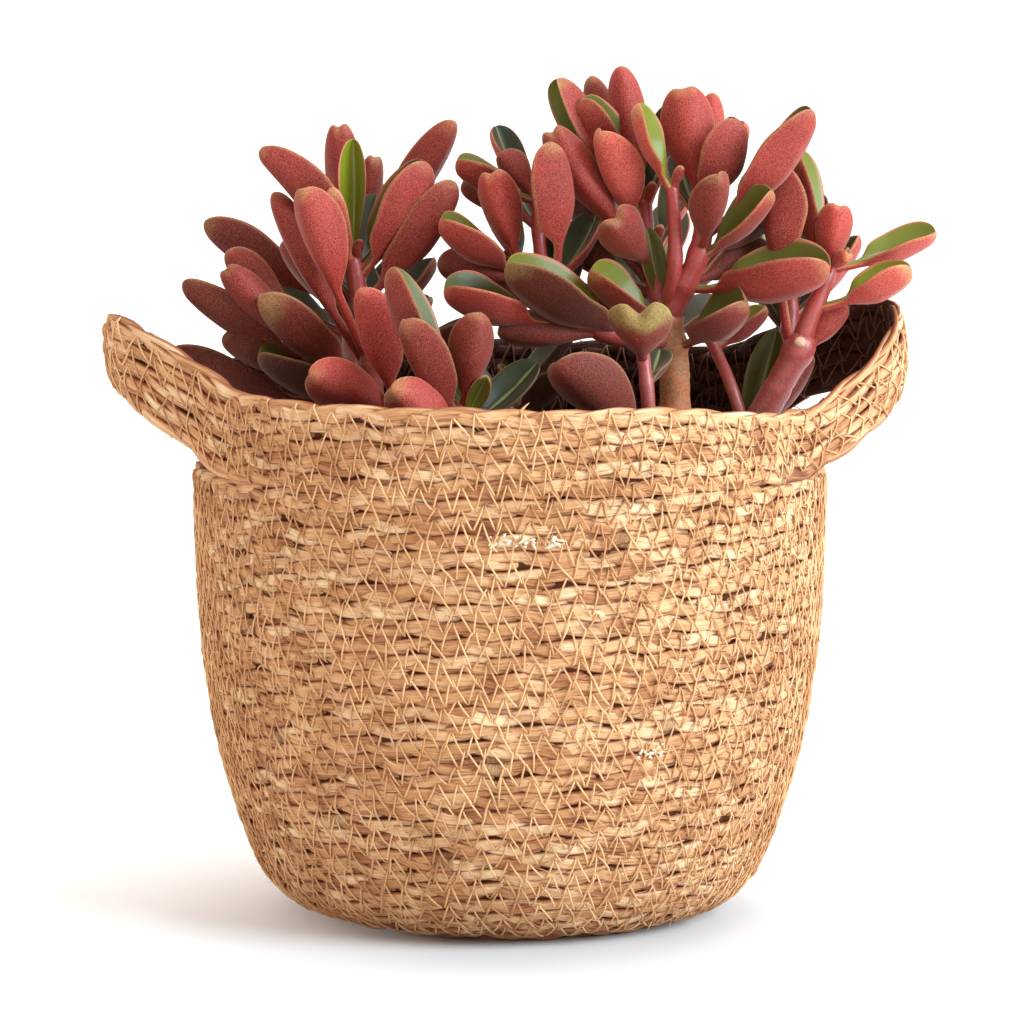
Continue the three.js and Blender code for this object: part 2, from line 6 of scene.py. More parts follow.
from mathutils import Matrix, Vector


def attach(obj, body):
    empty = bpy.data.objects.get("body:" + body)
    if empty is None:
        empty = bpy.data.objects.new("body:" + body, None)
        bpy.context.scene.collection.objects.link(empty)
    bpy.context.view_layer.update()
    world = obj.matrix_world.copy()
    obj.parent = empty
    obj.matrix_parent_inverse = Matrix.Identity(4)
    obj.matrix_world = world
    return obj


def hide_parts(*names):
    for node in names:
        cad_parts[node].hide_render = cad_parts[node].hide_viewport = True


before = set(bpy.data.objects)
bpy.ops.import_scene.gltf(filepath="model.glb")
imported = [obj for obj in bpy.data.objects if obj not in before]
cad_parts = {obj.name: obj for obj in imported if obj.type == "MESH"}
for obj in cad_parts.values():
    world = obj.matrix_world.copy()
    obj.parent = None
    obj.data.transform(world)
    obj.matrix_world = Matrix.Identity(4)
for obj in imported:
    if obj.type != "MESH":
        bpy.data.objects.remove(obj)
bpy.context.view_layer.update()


# Grow pot
# The thin black plastic pot that the plant was raised in: one moulding, with a stepped rolled lip
# and slots in its floor. It stands loose on the floor of the basket, and its lip has soil dust on it.
def paint(red, green, blue):
    """A colour as a paint chart gives it, from 0 to 255, turned into the light it sends back."""
    linear = [((c / 255 + 0.055) / 1.055) ** 2.4 if c > 10 else c / 255 / 12.92 for c in (red, green, blue)]
    return (*linear, 1.0)


class Wire:
    """A node's output, so that the maths between nodes is written as plain expressions."""

    def __init__(self, finish, socket):
        self.finish = finish
        self.socket = socket

    def maths(self, operation, *values):
        return self.finish.node("Math", {"operation": operation}, dict(enumerate(values)))

    def __add__(self, other):
        return self.maths("ADD", self, other)

    def __sub__(self, other):
        return self.maths("SUBTRACT", self, other)

    def __rsub__(self, other):
        return self.maths("SUBTRACT", other, self)

    def __mul__(self, other):
        return self.maths("MULTIPLY", self, other)

    def __abs__(self):
        return self.maths("ABSOLUTE", self)

    __radd__ = __add__
    __rmul__ = __mul__


class Finish:
    """One material. Plain values go on its shader's own sockets, and wires vary it over a surface."""

    def __init__(self, name, **plain):
        self.material = bpy.data.materials.new(name)
        self.material.use_nodes = True
        self.tree = self.material.node_tree
        self.shader = self.tree.nodes["Principled BSDF"]
        for key, value in plain.items():
            self.wear(key, value)

    def plug(self, socket, value):
        if isinstance(value, Wire):
            self.tree.links.new(value.socket, socket)
        else:
            socket.default_value = value

    def wear(self, key, value):
        named = {socket.name.lower().replace(" ", "_"): socket for socket in self.shader.inputs}
        self.plug(named[key], value)

    def node(self, kind, settings, sockets, out=0):
        made = self.tree.nodes.new("ShaderNode" + kind)
        for key, value in settings.items():
            if key == "stops":
                for place, _ in value[1:-1]:
                    made.color_ramp.elements.new(place)
                for stop, (place, colour) in zip(made.color_ramp.elements, value):
                    stop.position = place
                    stop.color = colour
            else:
                setattr(made, key, value)
        for key, value in sockets.items():
            self.plug(made.inputs[key], value)
        return Wire(self, made.outputs[out])

    def mark(self, name):
        """A number that the mesh carries at each of its points."""
        return self.node("Attribute", {"attribute_name": name}, {}, "Fac")

    def mix(self, share, first, second, way="MIX"):
        return self.node("Mix", {"data_type": "RGBA", "blend_type": way}, {0: share, 6: first, 7: second}, 2)

    def ramp(self, value, stops):
        """A colour read off a scale of places and colours."""
        return self.node("ValToRGB", {"stops": stops}, {"Fac": value})

    def between(self, value, low, high):
        """0 below low, 1 above high and smooth in between; low may be the larger one."""
        span = {"Value": value, "From Min": low, "From Max": high}
        return self.node("MapRange", {"interpolation_type": "SMOOTHSTEP"}, span)

    def grain(self, place, scale, detail=2.0, rough=0.5):
        """Noise from 0 to 1 that averages a half."""
        sockets = {"Vector": place, "Scale": scale, "Detail": detail, "Roughness": rough}
        return self.node("TexNoise", {}, sockets, "Fac")

    def place(self):
        """The point on the surface, in metres."""
        return self.node("TexCoord", {}, {}, "Object")

    def join(self, x, y, z):
        return self.node("CombineXYZ", {}, {"X": x, "Y": y, "Z": z})

    def relief(self, height, depth):
        """Bumps of that height, where depth is in metres."""
        self.wear("normal", self.node("Bump", {}, {"Height": height, "Distance": depth, "Strength": 1.0}))


def quads(rows, columns):
    """The faces between rows of points, where each row closes on itself."""
    across = np.arange(columns)
    start = np.arange(rows - 1)[:, None] * columns
    near = start + across
    beyond = start + (across + 1) % columns
    return np.stack([near, beyond, beyond + columns, near + columns], -1).reshape(-1, 4)


MM_IN_METRE = 1000


def piece(name, places, faces, finish, nodes, marks=None, smooth=True):
    """A piece of the object. places is in millimetres, and marks names a number for each of them."""
    mesh = bpy.data.meshes.new(name)
    places = np.asarray(places, float).reshape(-1, 3)
    mesh.vertices.add(len(places))
    mesh.vertices.foreach_set("co", (places / MM_IN_METRE).astype(np.float32).ravel())
    corners = np.concatenate([f.ravel() for f in faces]).astype(np.int32)
    sizes = np.concatenate([np.full(len(f), f.shape[1]) for f in faces])
    mesh.loops.add(len(corners))
    mesh.loops.foreach_set("vertex_index", corners)
    mesh.polygons.add(len(sizes))
    mesh.polygons.foreach_set("loop_start", (np.cumsum(sizes) - sizes).astype(np.int32))
    mesh.polygons.foreach_set("use_smooth", np.full(len(sizes), smooth))
    mesh.update(calc_edges=True)
    for key, values in (marks or {}).items():
        carried = mesh.attributes.new(key, "FLOAT", "POINT")
        carried.data.foreach_set("value", np.asarray(values, np.float32).ravel())
    mesh.materials.append(finish.material)
    made = bpy.data.objects.new(name, mesh)
    bpy.context.scene.collection.objects.link(made)
    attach(made, "root")
    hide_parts(*nodes)
    return made


def round_axis(radius, turn, height):
    """Places at a radius, a turn in radians and a height about the upright axis."""
    return np.stack([radius * np.cos(turn), radius * np.sin(turn), height + 0 * turn], -1)


def full_turn(columns):
    return np.linspace(0, 2 * math.pi, columns, endpoint=False)


def turned(profile, columns):
    """A sheet turned about the upright axis from rows of radius and height, with its faces."""
    radius, height = np.array(profile, float).T[:, :, None]
    return round_axis(radius, full_turn(columns), height).reshape(-1, 3), quads(len(profile), columns)


POT_FOOT = 4.85
POT_TOP = 109.85
POT_NECK_HEIGHT = 102.85
POT_NECK_RADIUS = 61
POT_LIP_RADIUS = 63.5
POT_BASE_RADIUS = 44
POT_WALL = 1.3
POT_COLUMNS = 96
DRAIN_SLOTS = 6
DRAIN_COLUMNS = 5
DRAIN_ROW = 2
pot_sheet = [
    (0.5, POT_FOOT), (20, POT_FOOT), (27, POT_FOOT), (35, POT_FOOT), (42, POT_FOOT),
    (43.6, POT_FOOT + 0.3), (POT_BASE_RADIUS, POT_FOOT + 1), (POT_BASE_RADIUS + 8.5, 53.9),
    (POT_NECK_RADIUS - 0.1, POT_NECK_HEIGHT - 0.4), (POT_NECK_RADIUS + 0.3, POT_NECK_HEIGHT),
    (POT_LIP_RADIUS - 0.4, POT_NECK_HEIGHT), (POT_LIP_RADIUS, POT_NECK_HEIGHT + 0.5),
    (POT_LIP_RADIUS, POT_TOP - 0.7), (POT_LIP_RADIUS - 0.5, POT_TOP - 0.1), (POT_LIP_RADIUS - 1.3, POT_TOP),
    (POT_LIP_RADIUS - 2.1, POT_TOP - 0.3), (POT_LIP_RADIUS - 2.4, POT_TOP - 1),
]
pot_places, pot_faces = turned(pot_sheet, POT_COLUMNS)
slot_pitch = POT_COLUMNS // DRAIN_SLOTS
slot_column = np.arange(len(pot_faces)) % POT_COLUMNS % slot_pitch
in_drain_row = np.arange(len(pot_faces)) // POT_COLUMNS == DRAIN_ROW
pot_faces = pot_faces[~(in_drain_row & (slot_column < DRAIN_COLUMNS))]

pot_plastic = Finish("pot_plastic", specular_ior_level=0.4)
dust = pot_plastic.grain(pot_plastic.place(), 260, 5.0, 0.65)
lip_dust = pot_plastic.between(dust, 0.42, 0.72)
pot_plastic.wear("base_color", pot_plastic.mix(lip_dust, paint(34, 32, 31), paint(74, 60, 50)))
pot_plastic.wear("roughness", 0.42 + 0.35 * lip_dust)
pot_plastic.relief(pot_plastic.grain(pot_plastic.place(), 900, 3.0), 0.00008)
grow_pot = piece("grow_pot", pot_places, [pot_faces], pot_plastic, ["nursery_pot"])
pot_walls = grow_pot.modifiers.new("wall", "SOLIDIFY")
pot_walls.thickness = POT_WALL / MM_IN_METRE
pot_walls.offset = -1


# Potting soil
# Dark peat that fills the grow pot to just under its lip, a little higher in the middle. Crumbs, chips
# of bark and grains of white perlite lie loose on top.
def random(seed):
    return np.random.default_rng(seed)


def unevenness(places, seed, count=24, finest=2.0, coarsest=14.0):
    """A gentle random height over points given across and back, from -1 to 1, with bumps of those widths."""
    draw = random(seed)
    widths = draw.uniform(finest, coarsest, count)
    headings = draw.uniform(0, 2 * math.pi, count)
    starts = draw.uniform(0, 2 * math.pi, count)
    total = np.zeros(len(places))
    for width, heading, start in zip(widths, headings, starts):
        run = places[:, 0] * math.cos(heading) + places[:, 1] * math.sin(heading)
        total += width * np.sin(run * 2 * math.pi / width + start)
    return total / np.abs(total).max()


SOIL_EDGE = 103.5
SOIL_RADIUS = 57.6
SOIL_DOME = 2.3
SOIL_FOOT = 6.5
SOIL_COLUMNS = 120
SOIL_RINGS = 33
SOIL_SIDE = [(0.5, SOIL_FOOT), (42, SOIL_FOOT), (50, 54.0)]


def soil_height(places):
    """How high the soil stands: a low dome with clods and finer crumbs."""
    share = np.hypot(places[:, 0], places[:, 1]) / SOIL_RADIUS
    rough = 0.7 * unevenness(places, 11) + 0.35 * unevenness(places, 12, 40, 0.8, 3.0)
    return SOIL_EDGE + SOIL_DOME * (1 - share**2) + rough


soil_radii = SOIL_RADIUS * np.linspace(1, 0, SOIL_RINGS + 1)[:-1]
soil_top, _ = turned([(radius, 0) for radius in soil_radii], SOIL_COLUMNS)
soil_top[:, 2] = soil_height(soil_top)
soil_under, _ = turned(SOIL_SIDE, SOIL_COLUMNS)
soil_places = np.concatenate([soil_under, soil_top, [[0, 0, soil_height(np.zeros((1, 3)))[0]]]])
soil_rows = len(SOIL_SIDE) + SOIL_RINGS
last_ring = (soil_rows - 1) * SOIL_COLUMNS + np.arange(SOIL_COLUMNS)
soil_cap = np.stack([last_ring, np.roll(last_ring, -1), np.full(SOIL_COLUMNS, len(soil_places) - 1)], -1)

soil_finish = Finish("damp_peat", roughness=0.92, specular_ior_level=0.25)
peat_place = soil_finish.place()
clod = soil_finish.grain(peat_place, 420, 6.0, 0.7)
peat = soil_finish.mix(soil_finish.between(clod, 0.35, 0.7), paint(34, 24, 18), paint(78, 57, 42))
bit_kind = soil_finish.mark("bit_kind")
bark_brown = soil_finish.mix(clod, paint(92, 58, 36), paint(140, 96, 62))
with_bark = soil_finish.mix(soil_finish.between(bit_kind, 0.4, 0.6), peat, bark_brown)
is_perlite = soil_finish.between(bit_kind, 1.4, 1.6)
soil_finish.wear("base_color", soil_finish.mix(is_perlite, with_bark, paint(214, 206, 192)))
soil_finish.relief(clod, 0.0006)
piece("potting_soil_bed", soil_places, [quads(soil_rows, SOIL_COLUMNS), soil_cap], soil_finish,
      ["potting_soil"], {"bit_kind": np.zeros(len(soil_places))})

CRUMBS = 620
CRUMB_SPREAD = 0.93
CRUMB_SIZE = (0.5, 1.6)
CRUMB_STRETCH = (1, 0.75, 0.6)
CHIP_SIZE = (0.9, 2.6)
CHIP_STRETCH = (1, 0.55, 0.28)
PEAT, BARK_CHIP, PERLITE = 0, 1, 2
KIND_SHARES = [0.62, 0.24, 0.14]
golden = (1 + math.sqrt(5)) / 2
ball = [(-1, golden, 0), (1, golden, 0), (-1, -golden, 0), (1, -golden, 0), (0, -1, golden), (0, 1, golden),
        (0, -1, -golden), (0, 1, -golden), (golden, 0, -1), (golden, 0, 1), (-golden, 0, -1), (-golden, 0, 1)]
ball = np.array(ball) / math.hypot(1, golden)
ball_faces = np.array([
    (0, 11, 5), (0, 5, 1), (0, 1, 7), (0, 7, 10), (0, 10, 11), (1, 5, 9), (5, 11, 4), (11, 10, 2),
    (10, 7, 6), (7, 1, 8), (3, 9, 4), (3, 4, 2), (3, 2, 6), (3, 6, 8), (3, 8, 9), (4, 9, 5),
    (2, 4, 11), (6, 2, 10), (8, 6, 7), (9, 8, 1)])
crumb_draw = random(21)
crumb_places, crumb_faces, crumb_kinds = [], [], []
for index in range(CRUMBS):
    reach = SOIL_RADIUS * math.sqrt(crumb_draw.uniform(0, CRUMB_SPREAD))
    turn = crumb_draw.uniform(0, 2 * math.pi)
    spot = np.array([[reach * math.cos(turn), reach * math.sin(turn), 0]])
    kind = crumb_draw.choice([PEAT, BARK_CHIP, PERLITE], p=KIND_SHARES)
    sizes, stretch = (CHIP_SIZE, CHIP_STRETCH) if kind == BARK_CHIP else (CRUMB_SIZE, CRUMB_STRETCH)
    size = crumb_draw.uniform(*sizes)
    lumpy = ball * crumb_draw.uniform(0.72, 1.2, (len(ball), 1)) * np.array(stretch) * size
    spin, _ = np.linalg.qr(crumb_draw.normal(size=(3, 3)))
    if kind == BARK_CHIP:
        spin[2] *= 0.35
    spot[0, 2] = soil_height(spot)[0] + 0.25 * size
    crumb_places.append(lumpy @ spin.T + spot)
    crumb_faces.append(ball_faces + len(ball) * index)
    crumb_kinds.append(np.full(len(ball), kind))
piece("soil_crumbs", np.concatenate(crumb_places), [np.concatenate(crumb_faces)], soil_finish,
      ["potting_soil"], {"bit_kind": np.concatenate(crumb_kinds)}, smooth=False)


# Leafy shoots
# Six fleshy stems, each rooted in the soil by its first branch. Their leaves are thick and folded like
# boats, with a velvety wine-red underside and a glossy green upper side, and grow spirally on short stalks.
ROOT_DEPTH = 14
ROOT_SUNK = 1
GOLDEN_TURN = 0.618
REAR_TILT = 10
# The rear leaves get a very dark green upper side: partly their own dark green, partly painted shade for the
# inside of the crown.
REAR_DARK_GREEN_AND_SHADE = 0.03
STALK_WIDTH = 2.4
LEAF_STALK = 0.14
LEAF_FOLD = 36
LEAF_BOW = 0.05
LEAF_THICK = 2.7
STALK_THICK = 2.0

# The camera's place is in millimetres and its pitch in degrees. Its focal length and the middle of the
# photograph are in pixels.
VIEW = dict(right=0.5, back=-1300, up=256, pitch=7, focal=5400, middle=512)


def from_photo(across, down, back):
    """The place, in millimetres, seen at a pixel of the photograph and that far behind the origin."""
    reach = back - VIEW["back"]
    pitch = math.radians(VIEW["pitch"])
    drop = pitch - math.atan((VIEW["middle"] - down) / VIEW["focal"])
    up = VIEW["up"] - reach * math.tan(drop)
    depth = reach * math.cos(pitch) + (VIEW["up"] - up) * math.sin(pitch)
    return np.array([VIEW["right"] + (across - VIEW["middle"]) / VIEW["focal"] * depth, back, up])


def wobble(seed):
    """A number from 0 to 1 that looks random and is the same for the same seed."""
    value = math.sin(seed * 12.9898) * 43758.5453
    return value - math.floor(value)


def unit(vector):
    return vector / np.linalg.norm(vector, axis=-1, keepdims=True)


def smooth(value, low, high):
    """0 below low, 1 above high and smooth in between; low may be the larger one."""
    share = np.clip((np.asarray(value, float) - low) / (high - low), 0, 1)
    return share * share * (3 - 2 * share)


def cubic(b, c, leave, arrive, t):
    """The place at t, from 0 to 1, on a curve from b to c that starts along leave and ends along arrive."""
    return b + leave * t + (3 * (c - b) - 2 * leave - arrive) * t * t + (2 * (b - c) + leave + arrive) * t**3


class Branch:
    """A smooth curve through a stem's points, measured along its length from 0 to 1."""

    fine = np.linspace(0, 1, 401)

    def __init__(self, way):
        ends = [2 * way[0] - way[1], *way, 2 * way[-1] - way[-2]]
        spans = []
        for a, b, c, d in zip(ends, ends[1:], ends[2:], ends[3:]):
            first, second, third = (math.sqrt(np.linalg.norm(q - p)) for p, q in ((a, b), (b, c), (c, d)))
            leave = ((b - a) / first - (c - a) / (first + second) + (c - b) / second) * second
            arrive = ((c - b) / second - (d - b) / (second + third) + (d - c) / third) * second
            spans.append((b, c, leave, arrive))
        self.spans = spans
        steps = np.linalg.norm(np.diff([self.bare(t) for t in self.fine], axis=0), axis=1)
        self.run = np.concatenate([[0], np.cumsum(steps)])
        self.long = self.run[-1]

    def bare(self, t):
        place = min(t * len(self.spans), len(self.spans) - 1e-9)
        return cubic(*self.spans[int(place)], place - int(place))

    def at(self, share):
        """The point at a share of the stem's length."""
        return self.bare(np.interp(share * self.long, self.run, self.fine))

    def along(self, share):
        """The way that the stem grows there."""
        return unit(self.at(min(1, share + 0.002)) - self.at(max(0, share - 0.002)))


def inward(out):
    """The turn that makes a leaf's upper side look up and in towards its own stem."""
    away = unit(np.array([0, 1, 0]) - out * out[1])
    beside = np.cross(out, away)
    return math.degrees(math.atan2(beside[2], away[2]))


def rear_leaves(branch, rear, seed):
    """Leaves on the side that the photograph doesn't show: they climb the stem by the golden angle."""
    leaves = []
    for index in range(rear["count"]):
        share = (index + 0.5) / rear["count"]
        at = rear["start"] + (1 - rear["start"]) * share
        swing = (index * GOLDEN_TURN + wobble(seed)) % 1 - 0.5
        heading = math.radians(rear["heading"] + rear["spread"] * swing)
        low, high = rear["lift"]
        climb = math.radians(low + (high - low) * share + REAR_TILT * (wobble(seed + index) - 0.5))
        long = rear["long"] * (0.88 + 0.24 * wobble(seed + 7 * index + 3))
        level = math.cos(climb)
        out = np.array([math.cos(heading) * level, math.sin(heading) * level, math.sin(climb)])
        end = branch.at(at) + long * out
        leaves.append(dict(at=at, end=end, wide=rear["wide"], face=inward(out), lime=REAR_DARK_GREEN_AND_SHADE))
    return leaves


def root_of(branch, girth, at, end):
    """A leaf's root: just under the bark, on the side of the stem that the leaf grows from."""
    base = branch.at(at)
    along = branch.along(at)
    out = unit(end - base)
    sideways = out - along * (out @ along)
    return base + sideways * max(0, girth[0] + (girth[1] - girth[0]) * at - ROOT_SUNK)


RING = 24
ring_turn = np.arange(RING) * 2 * math.pi / RING
RING_ACROSS = np.sign(np.cos(ring_turn)) * np.abs(np.cos(ring_turn)) ** 0.77
RING_OVER = np.sin(ring_turn)
BLADE_SHARES = 1 - np.linspace(1, 0.02, 24) ** 1.5
STALK_SHARES = np.array([0, 0.3, 0.6, 0.85])
OUTLINE_PEAK = 0.3914
SIDES_UNEVEN = 0.07
RIPPLE = 0.035
SKIN_OVER = 0.4
SKIN_UNDER = 0.6
RIB_HALF = 0.16
RIB_DEEP = 0.35
DENT_HALF = 0.3
NOTCH_HALF = 0.3
LEAF_TWIST = 0.14


def leaf_frame(run, face):
    """Three ways square to each other: along a leaf, to its side, and out of its upper side."""
    ahead = run / np.linalg.norm(run)
    away = unit(np.array([0, 1, 0]) - ahead * ahead[1])
    beside = np.cross(ahead, away)
    turn = math.radians(face)
    upper = away * math.cos(turn) + beside * math.sin(turn)
    return ahead, np.cross(ahead, upper), upper


def leaf_shape(base, end, wide, face, seed, notch, stalk=LEAF_STALK, fold=LEAF_FOLD, bow=LEAF_BOW,
               thick=LEAF_THICK):
    """A leaf's points, faces and marks: a round stalk that opens into a folded blade with a blunt tip."""
    draw = random(seed)
    long = np.linalg.norm(end - base)
    ahead, side, upper = leaf_frame(end - base, face)
    # share is each row's place along the leaf, and blade its place along the blade alone, 0 on the stalk.
    blade = np.concatenate([0 * STALK_SHARES, BLADE_SHARES])[:, None]
    share = np.concatenate([STALK_SHARES * stalk, stalk + (1 - stalk) * BLADE_SHARES])[:, None]
    # Half the width: a round neck that fades into the blade's outline.
    outline = blade**0.85 * (1 - blade) ** 0.55 / OUTLINE_PEAK
    neck = STALK_WIDTH / 2 * (1.15 - 0.25 * share / stalk).clip(0.9) * (1 - smooth(blade, 0.1, 0.6))
    half = ((wide / 2 * outline) ** 4 + neck**4) ** 0.25
    # The blade is flatter at its root and thinner towards its tip.
    opened = 0.15 + 0.85 * smooth(blade, 0, 0.22)
    tip_fade = np.where(blade > 0.5, (1.6 * outline).clip(0, 1) ** 0.6, 1)
    thickness = (STALK_THICK + (thick - STALK_THICK) * smooth(blade, 0, 0.3)) * tip_fade
    lean = 1 + draw.uniform(-SIDES_UNEVEN, SIDES_UNEVEN) * np.sign(RING_ACROSS)
    across = RING_ACROSS * half * lean
    # The fold: both sides rise from the midrib, like a boat's, and ripple a little.
    keel = np.abs(RING_ACROSS) ** 1.45
    wave = np.sin(blade * draw.uniform(5, 8) + draw.uniform(0, 6))
    ripple = RIPPLE * wide * wave * RING_ACROSS**3
    slope = math.tan(math.radians(fold))
    closing = 1 - 0.12 * smooth(blade, 0.4, 1)
    sink = 0.32 * slope * wide / 2 * smooth(blade, 0, 0.5) * np.sqrt(1 - blade**5)
    lift = (keel * slope * half * closing + ripple) * opened - sink
    # The two skins, a furrow along the upper midrib, and a dent below it towards a notched tip.
    lift = lift + RING_OVER * np.where(RING_OVER > 0, SKIN_OVER, SKIN_UNDER) * thickness
    crease = np.exp(-((RING_ACROSS / RIB_HALF) ** 2)) * (RING_OVER > 0)
    lift = lift - RIB_DEEP * crease * smooth(blade, 0.02, 0.3) * tip_fade
    dent = np.exp(-((RING_ACROSS / DENT_HALF) ** 2)) * (RING_OVER < 0)
    lift = lift + min(1.1, 14 * notch) * dent * smooth(blade, 0.35, 1) * tip_fade
    # The notch draws the tip in, and the whole leaf bows and twists.
    drawn_in = np.exp(-((across / (NOTCH_HALF * wide / 2)) ** 2)) * smooth(blade, 0.6, 1) * notch * long
    forward = share * long - drawn_in
    lift = lift - bow * long * 4 * share * (1 - share)
    twist = draw.uniform(-LEAF_TWIST, LEAF_TWIST) * blade
    places = (base + forward[..., None] * ahead + (across - twist * lift)[..., None] * side
              + (lift + twist * across)[..., None] * upper)
    tip_place = base + (long - notch * long) * ahead
    rows = len(share)
    places = np.concatenate([places.reshape(-1, 3), [tip_place]])
    last = (rows - 1) * RING + np.arange(RING)
    cap = np.stack([last, np.roll(last, -1), np.full(RING, rows * RING)], -1)
    root = np.arange(RING)[None, ::-1]
    marks = {
        "along": np.append(np.repeat(np.where(blade > 0, blade, share / stalk - 1)[:, 0], RING), 1),
        "across": np.append(np.tile(RING_ACROSS, rows), 0),
        "over": np.append(np.tile(RING_OVER, rows), 0),
    }
    return places, [quads(rows, RING), cap, root], marks


